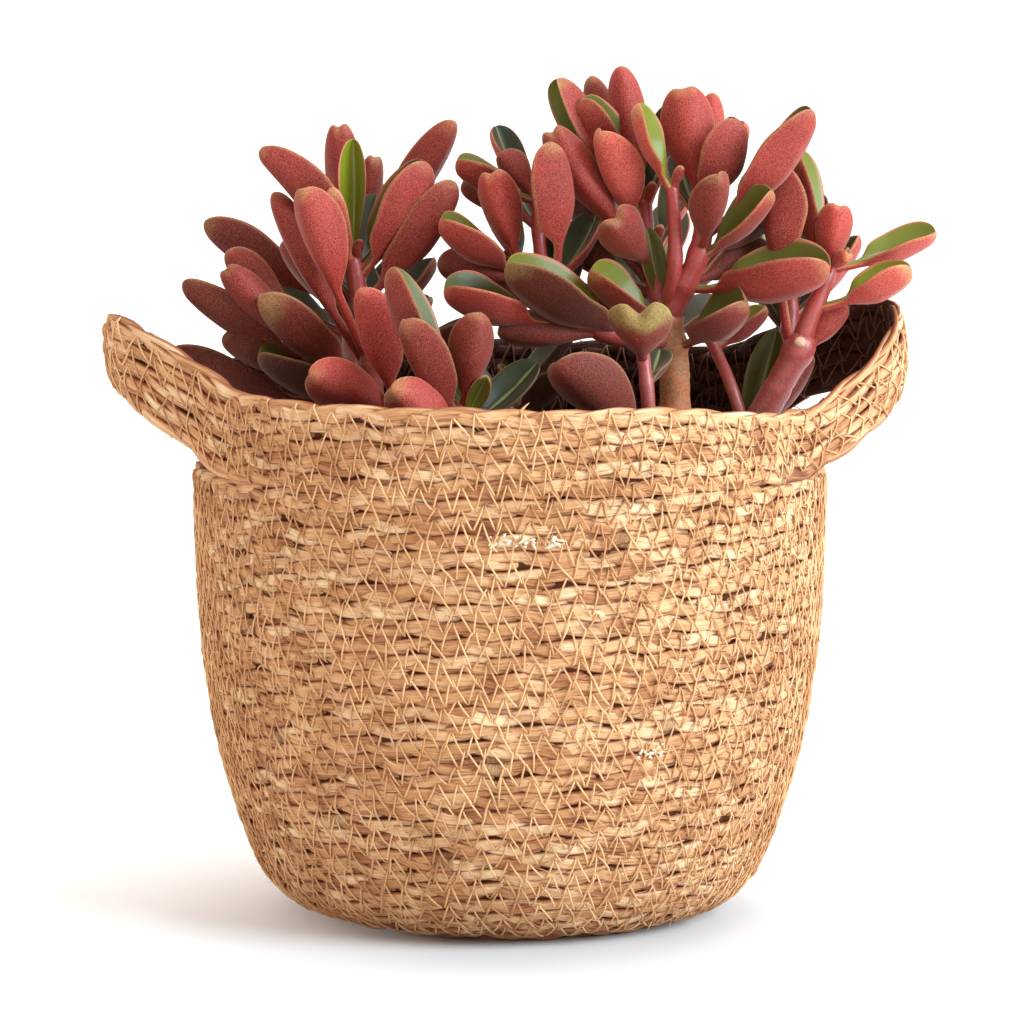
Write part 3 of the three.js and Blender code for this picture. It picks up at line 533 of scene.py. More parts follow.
# Each stem's way is a list of pixels of the photograph, each with how far it lies behind the origin. A leaf
# grows at a share of its stem. Its tip is a pixel too, with how far it lies behind the place it grows from.
# face turns its upper side: at 0 the underside shows, and at 180 the upper side.
SHOOTS = {
    "left_plant": [
        {
            "way": [[374, 484, 4], [374, 430, 4], [372, 380, 3], [366, 330, 1], [358, 290, 0], [353, 262, 0]],
            "girth": [3.6, 1.9],
            "rooted": True,
            "leaves": [
                dict(at=0.97, tip=(261, 147, -7), wide=10.4, face=-72, fold=55, bow=-0.07, age=0.4),
                dict(at=1, tip=(353, 138, 5), wide=6.8, face=178, fold=60, age=0.2, lime=1),
                dict(at=0.98, tip=(331, 187, -6), wide=6, face=-60, fold=45, age=0.2, lime=0.8),
                dict(at=0.94, tip=(426, 161, -5), wide=13, face=97, fold=58, age=0.4, lime=0.25),
                dict(at=0.64, tip=(302, 187, -15), wide=12, face=-25, fold=45, stalk=0.42, age=0.25),
                dict(at=0.62, tip=(273, 192, -3), wide=9, face=-30, fold=40, stalk=0.3, age=0.5),
                dict(at=0.86, tip=(455, 181, -4), wide=10.4, face=70, fold=55, age=0.6),
                dict(at=0.58, tip=(260, 296, -17), wide=13, face=-72, fold=50, stalk=0.2, age=0.62, lime=1),
                dict(at=0.49, tip=(258, 352, -13), wide=12, face=-85, fold=50, age=0.82),
                dict(at=0.75, tip=(281, 236, 9), wide=11, face=-25, fold=42, notch=0.04, age=0.5),
            ],
            "rear": dict(count=6, start=0.6, heading=80, spread=150, lift=[25, 62], long=27, wide=10),
        },
        {
            "way": [[374, 446, 4], [345, 420, 2], [318, 392, 0], [310, 362, -1], [308, 345, -1]],
            "girth": [2.6, 1.8],
            "leaves": [
                dict(at=0.98, tip=(227, 250, 2), wide=11, face=-35, fold=42, age=0.55),
                dict(at=0.95, tip=(222, 266, -6), wide=8.5, face=-10, notch=0.04, age=0.6),
                dict(at=0.9, tip=(183, 281, -1), wide=10, face=-60, fold=48, age=0.6),
                dict(at=0.74, tip=(222, 336, -2), wide=9.5, face=-30, age=0.75),
                dict(at=0.5, tip=(165, 356, 5), wide=14, face=-50, fold=36, stalk=0.2, age=0.8, lime=0.2),
            ],
        },
        {
            "way": [[374, 452, 0], [386, 424, -10], [402, 402, -16]],
            "girth": [2.2, 1.6],
            "leaves": [
                dict(at=0.95, tip=(362, 287, -5), wide=13, face=-45, fold=46, age=0.2),
                # This low front leaf's young, light colour is partly painted light, because it sits in shade
                # under the leaves above.
                dict(at=0.85, tip=(308, 374, -15), wide=12.5, face=-10, fold=40, stalk=0.06, age=0.05,
                     lime=0.4),
            ],
        },
        {
            "way": [[374, 446, 6], [362, 400, 18], [352, 350, 28], [350, 300, 31], [352, 266, 30]],
            "girth": [2.8, 1.8],
            "leaves": [
                dict(at=0.98, tip=(338, 119, -8), wide=9, face=0, notch=0.05, age=0.5),
                dict(at=1, tip=(376, 152, -5), wide=7, face=10, notch=0.045, age=0.5),
                dict(at=0.97, tip=(455, 120, -8), wide=10, face=25, fold=40, stalk=0.2, age=0.5),
                dict(at=0.82, tip=(204, 221, -6), wide=11.5, face=-60, fold=50, stalk=0.2, age=0.55),
            ],
            "rear": dict(count=8, start=0.42, heading=95, spread=190, lift=[12, 58], long=28, wide=10.5),
        },
    ],
    "front_left_shoot": [
        {
            "way": [[462, 494, -34], [462, 440, -34], [462, 410, -34]],
            "girth": [2.6, 1.8],
            "rooted": True,
            "leaves": [
                # This low front leaf's young, light colour is partly painted light, because it sits in shade
                # under the leaves above.
                dict(at=0.78, tip=(390, 387, -12), stalk=0.06, wide=12, face=-10, fold=40, age=0.1, lime=0.6),
                dict(at=0.93, tip=(405, 319, -9), wide=12.5, face=-45, fold=46, age=0.52),
                dict(at=0.97, tip=(392, 267, 2), wide=11, face=-102, fold=52, age=0.45, lime=0.35),
                dict(at=1, tip=(478, 312, -3), wide=11, face=15, fold=42, age=0.5),
                dict(at=0.85, tip=(538, 362, 8), wide=9, face=150, age=1, lime=0.02),
                dict(at=0.9, tip=(487, 376, -5), wide=5, face=180, age=0.5, lime=0.5),
            ],
            "rear": dict(count=2, start=0.7, heading=70, spread=90, lift=[20, 35], long=20, wide=8),
        },
    ],
    "centre_plant": [
        {
            "way": [[675, 484, -4], [675, 400, -4], [673, 350, -4], [666, 316, -4]],
            "girth": [4.4, 3.4],
            "rooted": True,
            "forks": True,
            "leaves": [
                dict(at=0.97, tip=(591, 270, -12), wide=12, face=-108, fold=48, age=0.4, lime=0.6),
                dict(at=0.98, tip=(646, 227, 3), wide=6.5, face=190, age=0.4, lime=0.3),
                dict(at=0.86, tip=(745, 300, -15), wide=14.5, face=96, fold=50, age=0.6, lime=0.3),
            ],
        },
        {
            "way": [[670, 340, -4], [630, 338, -9], [590, 325, -10], [556, 302, -8], [530, 280, -5],
                    [518, 264, -4]],
            "girth": [2.8, 1.8],
            "leaves": [
                dict(at=1, tip=(489, 168, -6), wide=10, face=-5, fold=40, notch=0.06, age=0.35),
                dict(at=0.74, tip=(550, 141, -8), wide=11.2, face=75, fold=55, stalk=0.3, age=0.42),
                dict(at=0.95, tip=(440, 219, -10), wide=11, face=-94, fold=50, age=0.25, lime=0.3),
                dict(at=0.42, tip=(443, 288, -12), wide=13, face=-96, fold=52, stalk=0.4, age=0.1, lime=0.2),
                dict(at=0.9, tip=(437, 262, 3), wide=10.5, face=-20, age=0.62),
                dict(at=0.4, tip=(497, 332, -4), wide=10, face=-30, age=0.7),
                dict(at=0.22, tip=(507, 264, -17), wide=15.5, face=-95, fold=54, age=0.66, lime=0.5),
            ],
            "rear": dict(count=5, start=0.25, heading=95, spread=150, lift=[15, 60], long=27, wide=10.5),
        },
        {
            "way": [[548, 296, -5], [540, 250, 2], [538, 215, 5], [536, 195, 6]],
            "girth": [1.8, 1.5],
            "leaves": [
                dict(at=0.95, tip=(457, 160, -6), wide=9.5, face=-98, fold=50, age=0.5, lime=0.3),
                dict(at=1, tip=(500, 152, 3), wide=8, face=-20, fold=42, age=0.45),
                dict(at=0.7, tip=(462, 182, 6), wide=8, face=60, age=0.7, lime=0.3),
            ],
            "rear": dict(count=3, start=0.6, heading=95, spread=120, lift=[30, 60], long=23, wide=9),
        },
        {
            "way": [[666, 318, -4], [655, 285, 0], [648, 255, 4], [645, 225, 8], [644, 205, 9]],
            "girth": [2.6, 1.7],
            "leaves": [
                dict(at=0.5, tip=(556, 77, 1), wide=11, face=107, fold=55, stalk=0.32, age=0.35, lime=0.5),
                dict(at=0.44, tip=(547, 125, -8), wide=10, face=-5, fold=42, stalk=0.3, notch=0.05, age=0.4),
                dict(at=0.95, tip=(590, 75, 10), wide=8, face=20, age=0.5),
                dict(at=1, tip=(620, 65, 3), wide=9, face=0, age=0.35),
                dict(at=0.9, tip=(583, 97, -9), wide=13.5, face=-102, fold=55, age=0.35, lime=0.35),
                dict(at=0.72, tip=(601, 130, -17), wide=12.5, face=-40, fold=42, stalk=0.25, age=0.05),
                dict(at=0.45, tip=(612, 213, -20), wide=12, face=10, notch=0.09, age=0.5),
                dict(at=0.3, tip=(561, 176, 12), wide=11, face=-20, stalk=0.25, age=0.8),
                dict(at=0.2, tip=(548, 226, 14), wide=11, face=-35, stalk=0.25, age=0.85),
            ],
            "rear": dict(count=3, start=0.8, heading=100, spread=130, lift=[45, 70], long=25, wide=9.5),
        },
        {
            "way": [[668, 316, -4], [675, 262, -9], [674, 215, -9], [672, 189, -8]],
            "girth": [2.2, 1.5],
            "leaves": [
                dict(at=1, tip=(638, 103, -3), wide=9, face=-115, fold=40, age=0.15, lime=1),
            ],
        },
        {
            "way": [[668, 318, -4], [682, 290, -6], [698, 256, -8], [703, 228, -5], [701, 205, -2]],
            "girth": [3.2, 1.8],
            "leaves": [
                dict(at=1, tip=(682, 83, 2), wide=13, face=0, notch=0.045, age=0.3),
                dict(at=0.97, tip=(713, 92, 10), wide=7.5, face=10, age=0.3),
                dict(at=0.93, tip=(736, 118, -6), wide=14, face=75, fold=52, age=0.45),
                dict(at=0.72, tip=(813, 108, -6), wide=11.5, face=84, fold=54, stalk=0.2, age=0.45),
                dict(at=0.62, tip=(718, 174, -16), wide=10.5, face=30, fold=42, age=0.6),
                dict(at=0.55, tip=(772, 190, -9), wide=11, face=108, fold=42, age=0.4, lime=0.4),
                dict(at=0.6, tip=(776, 213, 13), wide=9, face=40, age=0.8),
                dict(at=0.3, tip=(831, 266, -14), wide=16, face=100, fold=55, age=0.45, lime=0.35),
                dict(at=0.35, tip=(774, 250, 10), wide=10, face=25, age=0.7),
            ],
            "rear": dict(count=3, start=0.8, heading=80, spread=120, lift=[40, 65], long=25, wide=10),
        },
        {
            "way": [[675, 410, -2], [672, 368, 12], [662, 325, 26], [656, 280, 34], [654, 248, 36]],
            "girth": [3.2, 2],
            "rear": dict(count=10, start=0.5, heading=118, spread=220, lift=[10, 60], long=29, wide=11),
        },
    ],
    "front_centre_shoot": [
        {
            "way": [[650, 494, -36], [650, 440, -36], [648, 400, -36], [643, 354, -34]],
            "girth": [2.2, 1.5],
            "rooted": True,
            "leaves": [
                dict(at=0.97, tip=(639, 302, -7), wide=15.5, face=-16, fold=36, stalk=0.1, bow=0.12,
                     notch=0.2, age=0.66, lime=2.0),
                dict(at=0.6, tip=(556, 362, -16), wide=16, face=-30, fold=35, age=0.66, lime=0.2),
            ],
            "rear": dict(count=2, start=0.4, heading=60, spread=60, lift=[25, 25], long=17, wide=8),
        },
    ],
    "right_plant": [
        {
            "way": [[729, 484, -6], [740, 452, -7], [765, 410, -8], [800, 347, -8]],
            "girth": [3.7, 3.5],
            "rooted": True,
            "forks": True,
            "leaves": [
                dict(at=0.97, tip=(782, 164, 3), wide=12, face=-65, fold=50, stalk=0.42, age=0.42),
                dict(at=0.42, tip=(777, 329, 8), wide=8.5, face=160, age=0.9, lime=0.25),
                dict(at=0.5, tip=(812, 355, 12), wide=7.5, face=20, age=0.6),
                dict(at=0.98, tip=(846, 305, 6), wide=8, face=30, age=0.45),
            ],
        },
        {
            "way": [[743, 420, -7], [728, 378, -3], [713, 345, 4]],
            "girth": [1.6, 1.4],
            "leaves": [
                dict(at=0.97, tip=(766, 307, 6), wide=8, face=105, fold=40, age=0.3, lime=0.9),
            ],
        },
        {
            "way": [[798, 350, -8], [812, 312, -8], [825, 284, -7], [829, 264, -5]],
            "girth": [2.6, 1.7],
            "leaves": [
                dict(at=0.9, tip=(797, 149, 8), wide=10, face=-105, fold=52, age=0.4, lime=0.9),
                dict(at=0.85, tip=(840, 202, -3), wide=9, face=0, fold=46, notch=0.05, age=0.22),
                dict(at=0.95, tip=(937, 231, 4), wide=11, face=108, fold=42, stalk=0.25, age=0.1, lime=0.6),
                dict(at=0.5, tip=(912, 268, -5), wide=11, face=100, fold=50, stalk=0.25, age=0.15, lime=0.9),
                dict(at=1, tip=(849, 254, -10), wide=4, face=20, age=0),
            ],
        },
        {
            "way": [[748, 440, -5], [762, 402, 6], [782, 365, 16], [790, 320, 20], [788, 284, 21]],
            "girth": [2.6, 1.8],
            "rear": dict(count=6, start=0.72, heading=78, spread=110, lift=[38, 62], long=26, wide=10),
        },
    ],
    "back_shoot": [
        {
            "way": [[512, 455, 40], [512, 420, 40], [512, 385, 41]],
            "girth": [2.4, 1.8],
            "rooted": True,
            "rear": dict(count=7, start=0.45, heading=90, spread=340, lift=[8, 40], long=22, wide=10),
        },
    ],
}

TRUNKS = [("centre_plant", 0), ("centre_plant", 6)]
TRUNK_BARK_HEIGHTS = (178, 128)
BARK_HEIGHTS = (140, 100)
YOUNG_HEIGHTS = (112, 172)
LEAF_AGE_HEIGHTS = (122, 178)
LEAF_AGE_UNEVEN = 0.12
BARK_USUAL = 0.5
BARK = dict(front_centre_shoot=0.2, right_plant=0.1)
BUD_LONG = 6.5
BUD_WIDE = 3
BUD_THICK = 1.5
LIME_USUAL = 0.3
NOTCH_USUAL = (0.0, 0.012)
STEM_SIDES = 14
STEM_STEP = 1.2
STEM_DOME = np.array([0.35, 0.65, 0.85, 0.97])
JOINT_SWELL = 0.13
JOINT_REACH = 1.5
OLD_JOINT_SWELL = 0.06
OLD_JOINT_REACH = 0.7
OLD_JOINT_FIRST = (5, 9)
OLD_JOINT_EVERY = (7, 11)

leaf_skin = Finish("leaf_skin", specular_ior_level=0.25, sheen_weight=0.3, sheen_roughness=0.4,
                   sheen_tint=(1.0, 0.66, 0.56, 1), coat_roughness=0.2, subsurface_weight=0.06,
                   subsurface_scale=0.002)
along, across, over = (leaf_skin.mark(name) for name in ("along", "across", "over"))
age, tone, lime = (leaf_skin.mark(name) for name in ("age", "tone", "lime"))
skin_place = leaf_skin.place()
speck = leaf_skin.grain(skin_place, 4000, 2.0, 0.6)
blotch = leaf_skin.grain(skin_place, 150, 3.0)
from_middle = abs(across)
ripened = age + 0.3 * (blotch - 0.5) + 0.1 * tone
wine = leaf_skin.ramp(ripened, [
    (0.0, paint(202, 90, 74)), (0.2, paint(184, 68, 58)), (0.45, paint(150, 54, 43)),
    (0.65, paint(120, 46, 34)), (0.82, paint(96, 50, 34)), (1.0, paint(78, 54, 35))])
near_stalk = leaf_skin.between(along, 0.5, -0.1)
wine = leaf_skin.mix(0.65 * near_stalk, wine, leaf_skin.mix(age, paint(190, 42, 34), paint(104, 46, 38)))
olive = leaf_skin.mix(age, paint(210, 158, 104), paint(138, 118, 66))
olive = leaf_skin.mix(leaf_skin.between(lime, 1, 3), olive, paint(140, 156, 66))
margin = leaf_skin.between(from_middle, 0.94, 1.0) * leaf_skin.between(over, -0.6, -0.1)
tip_tint = leaf_skin.between(along + 0.3 * (blotch - 0.5) + 0.2 * lime, 0.94, 1.15)
wine = leaf_skin.mix(0.35 * margin + 0.6 * tip_tint, wine, olive)
speck_shade = leaf_skin.mix(1.0, wine, paint(158, 136, 130), "MULTIPLY")
wine = leaf_skin.mix(leaf_skin.between(speck, 0.56, 0.3), wine, speck_shade)
light_speck = (0.3 - 0.2 * age) * leaf_skin.between(speck, 0.52, 0.74)
wine = leaf_skin.mix(light_speck, wine, paint(236, 148, 124))
green = leaf_skin.ramp(lime + 0.2 * (blotch - 0.5), [
    (0.0, paint(38, 43, 18)), (0.35, paint(88, 88, 26)), (0.7, paint(108, 110, 24)),
    (1.0, paint(114, 118, 12))])
streak = leaf_skin.between(from_middle + 0.2 * (blotch - 0.5), 0.12, 0.02)
green = leaf_skin.mix(0.45 * streak, green, paint(176, 178, 112))
pink_edge = leaf_skin.between(from_middle + 0.06 * lime, 0.9, 1.0)
green = leaf_skin.mix(pink_edge, green, leaf_skin.mix(age, paint(198, 104, 82), paint(132, 100, 64)))
is_upper = leaf_skin.between(over, -0.1, 0.2)
leaf_skin.wear("base_color", leaf_skin.mix(is_upper, wine, green))
leaf_skin.wear("roughness", 0.6 - 0.14 * is_upper)
leaf_skin.wear("coat_weight", is_upper * (0.06 + 0.2 * lime))
leaf_skin.relief(speck * (1 - 0.8 * is_upper), 0.00008)

stem_skin = Finish("stem_skin", specular_ior_level=0.5, coat_weight=0.25, coat_roughness=0.25,
                   subsurface_weight=0.12, subsurface_scale=0.003)
bark, young = (stem_skin.mark(name) for name in ("bark", "young"))
stem_place = stem_skin.place()
stem_speck = stem_skin.grain(stem_place, 1500, 4.0, 0.6)
stem_blotch = stem_skin.grain(stem_place, 240, 3.0)
fleshy = stem_skin.mix(young + 0.5 * (stem_blotch - 0.5), paint(168, 76, 68), paint(168, 50, 44))
woody = stem_skin.mix(stem_skin.between(stem_blotch, 0.3, 0.7), paint(192, 110, 64), paint(166, 112, 66))
stem_colour = stem_skin.mix(bark, fleshy, woody)
speckled = 0.5 * stem_skin.between(stem_speck, 0.6, 0.35)
stem_skin.wear("base_color", stem_skin.mix(speckled, stem_colour, paint(100, 48, 38)))
stem_skin.wear("roughness", 0.34 + 0.3 * bark + 0.15 * stem_speck)
stem_skin.relief(stem_speck, 0.00012)


def tube_rings(path, radii, sides):
    """Points round a path, with its rings turned as little as possible from one to the next."""
    ahead = unit(np.gradient(path, axis=0))
    across = unit(np.cross(ahead[0], [0.3, 1, 0.1]))
    turn = np.arange(sides) * 2 * math.pi / sides
    rings = []
    for point, forward, radius in zip(path, ahead, radii):
        across = unit(across - forward * (across @ forward))
        third = np.cross(forward, across)
        rings.append(point + radius * (np.cos(turn)[:, None] * across + np.sin(turn)[:, None] * third))
    return np.concatenate(rings)


def stem_shape(branch, girth, joints, seed):
    """A stem swollen at each leaf's root, with a few old scars between, closed by a dome at its tip."""
    draw = random(seed)
    count = max(6, round(branch.long / STEM_STEP))
    shares = np.linspace(0, 1, count)
    path = np.array([branch.at(s) for s in shares])
    radii = girth[0] + (girth[1] - girth[0]) * shares
    swell = np.zeros(count)
    for at in joints:
        swell += JOINT_SWELL * np.exp(-(((shares - at) * branch.long / JOINT_REACH) ** 2))
    old_joints = np.arange(draw.uniform(*OLD_JOINT_FIRST), branch.long, draw.uniform(*OLD_JOINT_EVERY))
    for scar in old_joints:
        swell += OLD_JOINT_SWELL * np.exp(-(((shares * branch.long - scar) / OLD_JOINT_REACH) ** 2))
    radii = radii * (1 + np.minimum(swell, 0.2)) * (1 + 0.015 * draw.normal(size=count))
    top = unit(path[-1] - path[-2])
    dome = STEM_DOME * radii[-1]
    path = np.concatenate([path, path[-1] + dome[:, None] * top])
    radii = np.concatenate([radii, np.sqrt((radii[-1] ** 2 - dome**2).clip(0.002))])
    rows = len(path)
    caps = [np.arange(STEM_SIDES)[None, ::-1], ((rows - 1) * STEM_SIDES + np.arange(STEM_SIDES))[None]]
    return tube_rings(path, radii, STEM_SIDES), [quads(rows, STEM_SIDES), *caps]


def gather(shapes):
    """Several shapes as one: their points, and their faces counted on from one shape to the next."""
    places, faces, start = [], {}, 0
    for some_places, some_faces in shapes:
        for group in some_faces:
            faces.setdefault(group.shape[1], []).append(group + start)
        places.append(some_places)
        start += len(some_places)
    return np.concatenate(places), [np.concatenate(groups) for groups in faces.values()]


for shoot_index, (shoot, stems) in enumerate(SHOOTS.items()):
    stem_shapes, stem_marks = [], {"bark": [], "young": []}
    leaf_shapes, leaf_marks = [], {"along": [], "across": [], "over": [], "age": [], "tone": [], "lime": []}
    for stem_index, stem in enumerate(stems):
        way = [from_photo(*spot) for spot in stem["way"]]
        if stem.get("rooted"):
            way.insert(0, way[0] - [0, 0, ROOT_DEPTH])
        branch = Branch(way)
        seed = 100 * shoot_index + 10 * stem_index
        leaves = []
        for leaf in stem.get("leaves", []):
            pixel_across, pixel_down, behind = leaf["tip"]
            back = branch.at(leaf["at"])[1] + behind
            leaves.append({**leaf, "end": from_photo(pixel_across, pixel_down, back)})
        if "rear" in stem:
            leaves += rear_leaves(branch, stem["rear"], seed)
        places, faces = stem_shape(branch, stem["girth"], [leaf["at"] for leaf in leaves], seed + 5)
        stem_shapes.append((places, faces))
        height = places[:, 2]
        low_bark = BARK.get(shoot, BARK_USUAL) * smooth(height, *BARK_HEIGHTS)
        is_trunk = (shoot, stem_index) in TRUNKS
        stem_marks["bark"].append(smooth(height, *TRUNK_BARK_HEIGHTS) if is_trunk else low_bark)
        stem_marks["young"].append(smooth(height, *YOUNG_HEIGHTS))
        # Two small bud leaves close the tip of a stem that doesn't fork.
        tip, top = branch.at(1), branch.along(1)
        aside = unit(np.cross(top, [0.2, 0.4, 0.9]))
        for sign in () if stem.get("forks") else (-1, 1):
            out = unit(0.8 * top + 0.6 * sign * aside)
            leaves.append(dict(root=tip, end=tip + BUD_LONG * out, wide=BUD_WIDE, face=inward(out), age=0.4,
                               thick=BUD_THICK))
        for leaf_index, leaf in enumerate(leaves):
            end = leaf["end"]
            root = leaf["root"] if "root" in leaf else root_of(branch, stem["girth"], leaf["at"], end)
            draw = random(7000 + 50 * seed + leaf_index)
            given = {key: leaf[key] for key in ("stalk", "fold", "bow", "notch", "thick") if key in leaf}
            given.setdefault("notch", draw.uniform(*NOTCH_USUAL))
            leaf_seed = 1000 + seed + leaf_index
            places, faces, marks = leaf_shape(root, end, leaf["wide"], leaf["face"], leaf_seed, **given)
            age_there = 1 - smooth(end[2], *LEAF_AGE_HEIGHTS)
            leaf_age = leaf.get("age", age_there + draw.uniform(-LEAF_AGE_UNEVEN, LEAF_AGE_UNEVEN))
            leaf_shapes.append((places, faces))
            for key, values in marks.items():
                leaf_marks[key].append(values)
            leaf_marks["age"].append(np.full(len(places), np.clip(leaf_age, 0, 1)))
            leaf_marks["tone"].append(np.full(len(places), draw.uniform(-1, 1)))
            leaf_marks["lime"].append(np.full(len(places), leaf.get("lime", LIME_USUAL)))
    places, faces = gather(stem_shapes)
    marks = {key: np.concatenate(values) for key, values in stem_marks.items()}
    piece(shoot + "_stems", places, faces, stem_skin, [shoot], marks)
    places, faces = gather(leaf_shapes)
    marks = {key: np.concatenate(values) for key, values in leaf_marks.items()}
    piece(shoot + "_leaves", places, faces, leaf_skin, [shoot], marks)


# Healed cut
# A branch was once cut off where the right stem forks. The cut has healed to a small, pale, corky scar
# that stands a little proud of the skin.
SCAR = dict(middle=(800, 342, -11.4), wide=1.5, deep=0.9, rings=6, columns=20)
scar_finish = Finish("healed_cut", roughness=0.7)
scar_grain = scar_finish.grain(scar_finish.place(), 900, 3.0)
scar_finish.wear("base_color", scar_finish.mix(scar_grain, paint(176, 104, 78), paint(240, 204, 168)))
scar_finish.relief(scar_grain, 0.0004)
scar_turn = full_turn(SCAR["columns"])
scar_rise = np.linspace(0.05, math.pi - 0.05, SCAR["rings"])[:, None]
scar_places = np.stack([
    SCAR["wide"] * np.sin(scar_rise) * np.cos(scar_turn),
    -SCAR["deep"] * np.cos(scar_rise) + 0 * scar_turn,
    0.9 * SCAR["wide"] * np.sin(scar_rise) * np.sin(scar_turn)], -1)
scar_ring = np.arange(SCAR["columns"])[None]
scar_back = scar_places.size // 3 - 1 - scar_ring
scar_faces = [quads(SCAR["rings"], SCAR["columns"])[:, ::-1], scar_ring, scar_back]
piece("right_plant_scar", scar_places.reshape(-1, 3) + from_photo(*SCAR["middle"]), scar_faces, scar_finish,
      ["right_plant"])


# Basket
# Seagrass, dried and laid as a three-strand plait that is coiled up from the middle of the floor, row on
# row. The top five rows leave the wall at the left and the right and rise into two ear handles.
ROW = 4.1
BASKET_RADIUS = 76.3
WALL_TOP = 108.5
WALL_CURVE = [(46, 0), (56, 5.5), (62, 14), (68, 31), (72, 48), (75, 73), (BASKET_RADIUS, WALL_TOP)]
BAND_ROWS = 5
BAND_BOTTOM = 106
BAND_TOP = 130.2
BAND_TILT = 1.3
EAR_BELLY = 1.2
RIGHT_EAR = dict(low_out=17.5, high_out=17.5, half=31, low=(21, -7, 42, 42), high=(17, -5, 32, 45))
LEFT_EAR = dict(low_out=18.5, high_out=20.5, half=31, low=(20, 0, 37, 37), high=(15, 5, 30, 24))
RIM_DIP = dict(deep=5, middle=30, half=40)
BAND_CLEAR = 0.2
BAND_PROUD = 0.6
BAND_LENGTH = 505
FLOOR_RADIUS = 46
FLOOR_THICK = 4.5
FLOOR_FACE = 0.25
TABLE_CLEAR = 0.05

PLAIT_PERIOD = 37
PLAIT_SWING = 1.0
PLAIT_DEPTH = 0.72
PLAIT_SUNK = 1.25
PLAIT_STEP = 3.4
RIM_STEP = 2.6
ROW_WANDER = 0.28
STRAND_SWAY = 0.7
STRAND_ASIDE = 0.15
STRAND_LIFT = 0.18
STRAND_UNEVEN = 0.2
STRAND_WIDE = 1.56
STRAND_THICK = 0.64
STRAND_SIDES = 8
WAVES = dict(sway=(2, 4, 7), aside=(17, 29, 37), lift=(11, 19, 31), wide=(6, 15, 26), thick=(5, 14, 33))


def wall_curve():
    """The wall's outer face as a table of length along it, radius, height and the way out."""
    knots = np.array(WALL_CURVE, float)
    knots = np.concatenate([knots[:1], knots, knots[-1:]])
    rows = []
    for a, b, c, d in zip(knots, knots[1:], knots[2:], knots[3:]):
        rows += [cubic(b, c, (c - a) / 2, (d - b) / 2, t) for t in np.linspace(0, 1, 60, endpoint=False)]
    rows = np.array([*rows, knots[-1]])
    ahead = unit(np.gradient(rows, axis=0))
    run = np.concatenate([[0], np.cumsum(np.linalg.norm(np.diff(rows, axis=0), axis=1))])
    return run, rows, np.stack([ahead[:, 1], -ahead[:, 0]], -1)


wall_run, wall_rows, wall_out = wall_curve()
WALL_LONG = wall_run[-1]


def on_wall(up, turn, lift):
    """A place on the wall: up is millimetres along its curve, turn is in radians, lift is outward."""
    radius, height = (np.interp(up, wall_run, wall_rows[:, k]) for k in (0, 1))
    out, rise = (np.interp(up, wall_run, wall_out[:, k]) for k in (0, 1))
    return round_axis(radius + lift * out, turn, height + lift * rise)


def hump(offset, half):
    """A smooth hump that is 1 in the middle and 0 from half its width outward."""
    return np.where(np.abs(offset) < half, 0.5 * (1 + np.cos(math.pi * offset / half)), 0)


def edge_lift(to_front, lift, middle, front, rear):
    """How far an ear lifts an edge of the band, at that many degrees to its front."""
    return lift * hump(to_front - middle, np.where(to_front > middle, front, rear))


def band_edges(turn):
    """The rim band's lower and upper radius and height, and its belly, at an angle in radians."""
    angle = np.degrees(turn)
    to_right = 180 - (angle + 180) % 360
    to_left = angle % 360 - 180
    is_right = np.abs(to_right) < 90

    def pick(right, left):
        return np.where(is_right, right, left)

    swing = pick(hump(to_right, RIGHT_EAR["half"]), hump(to_left, LEFT_EAR["half"]))
    low = BAND_BOTTOM + pick(edge_lift(to_right, *RIGHT_EAR["low"]), edge_lift(to_left, *LEFT_EAR["low"]))
    level = BAND_TOP + BAND_TILT * np.sin(turn)
    high = level + pick(edge_lift(to_right, *RIGHT_EAR["high"]), edge_lift(to_left, *LEFT_EAR["high"]))
    high = high - RIM_DIP["deep"] * hump(to_right - RIM_DIP["middle"], RIM_DIP["half"])
    low_radius = BASKET_RADIUS + swing * pick(RIGHT_EAR["low_out"], LEFT_EAR["low_out"])
    high_radius = BASKET_RADIUS + swing * pick(RIGHT_EAR["high_out"], LEFT_EAR["high_out"])
    return low_radius, high_radius, low, high, EAR_BELLY * swing


def on_band(rows_down, turn, lift):
    """A place on the rim band: rows_down is counted from its top edge."""
    low_radius, high_radius, low, high, belly = band_edges(turn)
    foot = np.maximum(low, WALL_TOP + BAND_CLEAR)
    height = high - rows_down * (high - foot) / BAND_ROWS
    share = (height - low) / (high - low)
    bulge = belly * np.sin(math.pi * share.clip(0, 1))
    radius = low_radius + (high_radius - low_radius) * share + bulge + BAND_PROUD + lift
    return round_axis(radius, turn, height)


def on_floor(radius, turn, lift):
    """A place on the underside of the floor, where lift is downward."""
    return round_axis(radius, turn, FLOOR_FACE - lift)


def drift(turn, seed, waves=(3, 5, 8, 13, 21)):
    """A small wander round a row, from about -1 to 1, that closes on itself."""
    draw = random(seed)
    return sum(np.sin(w * turn + draw.uniform(0, 2 * math.pi)) * draw.uniform(0.3, 1) for w in waves) / 2


def square_to(ahead, out):
    """The way out, made square to the way ahead."""
    return unit(out - ahead * np.sum(out * ahead, -1, keepdims=True))


def strand_shape(path, out, wide, thick):
    """A flat strand round a closed path, its width across the path and its thickness along out."""
    ahead = unit(np.roll(path, -1, 0) - np.roll(path, 1, 0))
    out = square_to(ahead, out)
    aside = np.cross(out, ahead)
    turn = np.arange(STRAND_SIDES) * 2 * math.pi / STRAND_SIDES + math.pi / STRAND_SIDES
    across = np.cos(turn)
    rise = np.sign(np.sin(turn)) * np.abs(np.sin(turn)) ** 0.6
    places = (path[:, None] + (wide[:, None] * across)[..., None] * aside[:, None]
              + (thick[:, None] * rise)[..., None] * out[:, None])
    faces = quads(len(path) + 1, STRAND_SIDES) % (len(path) * STRAND_SIDES)
    return places.reshape(-1, 3), faces, np.tile(np.sin(turn), len(path)), np.tile(across, len(path))


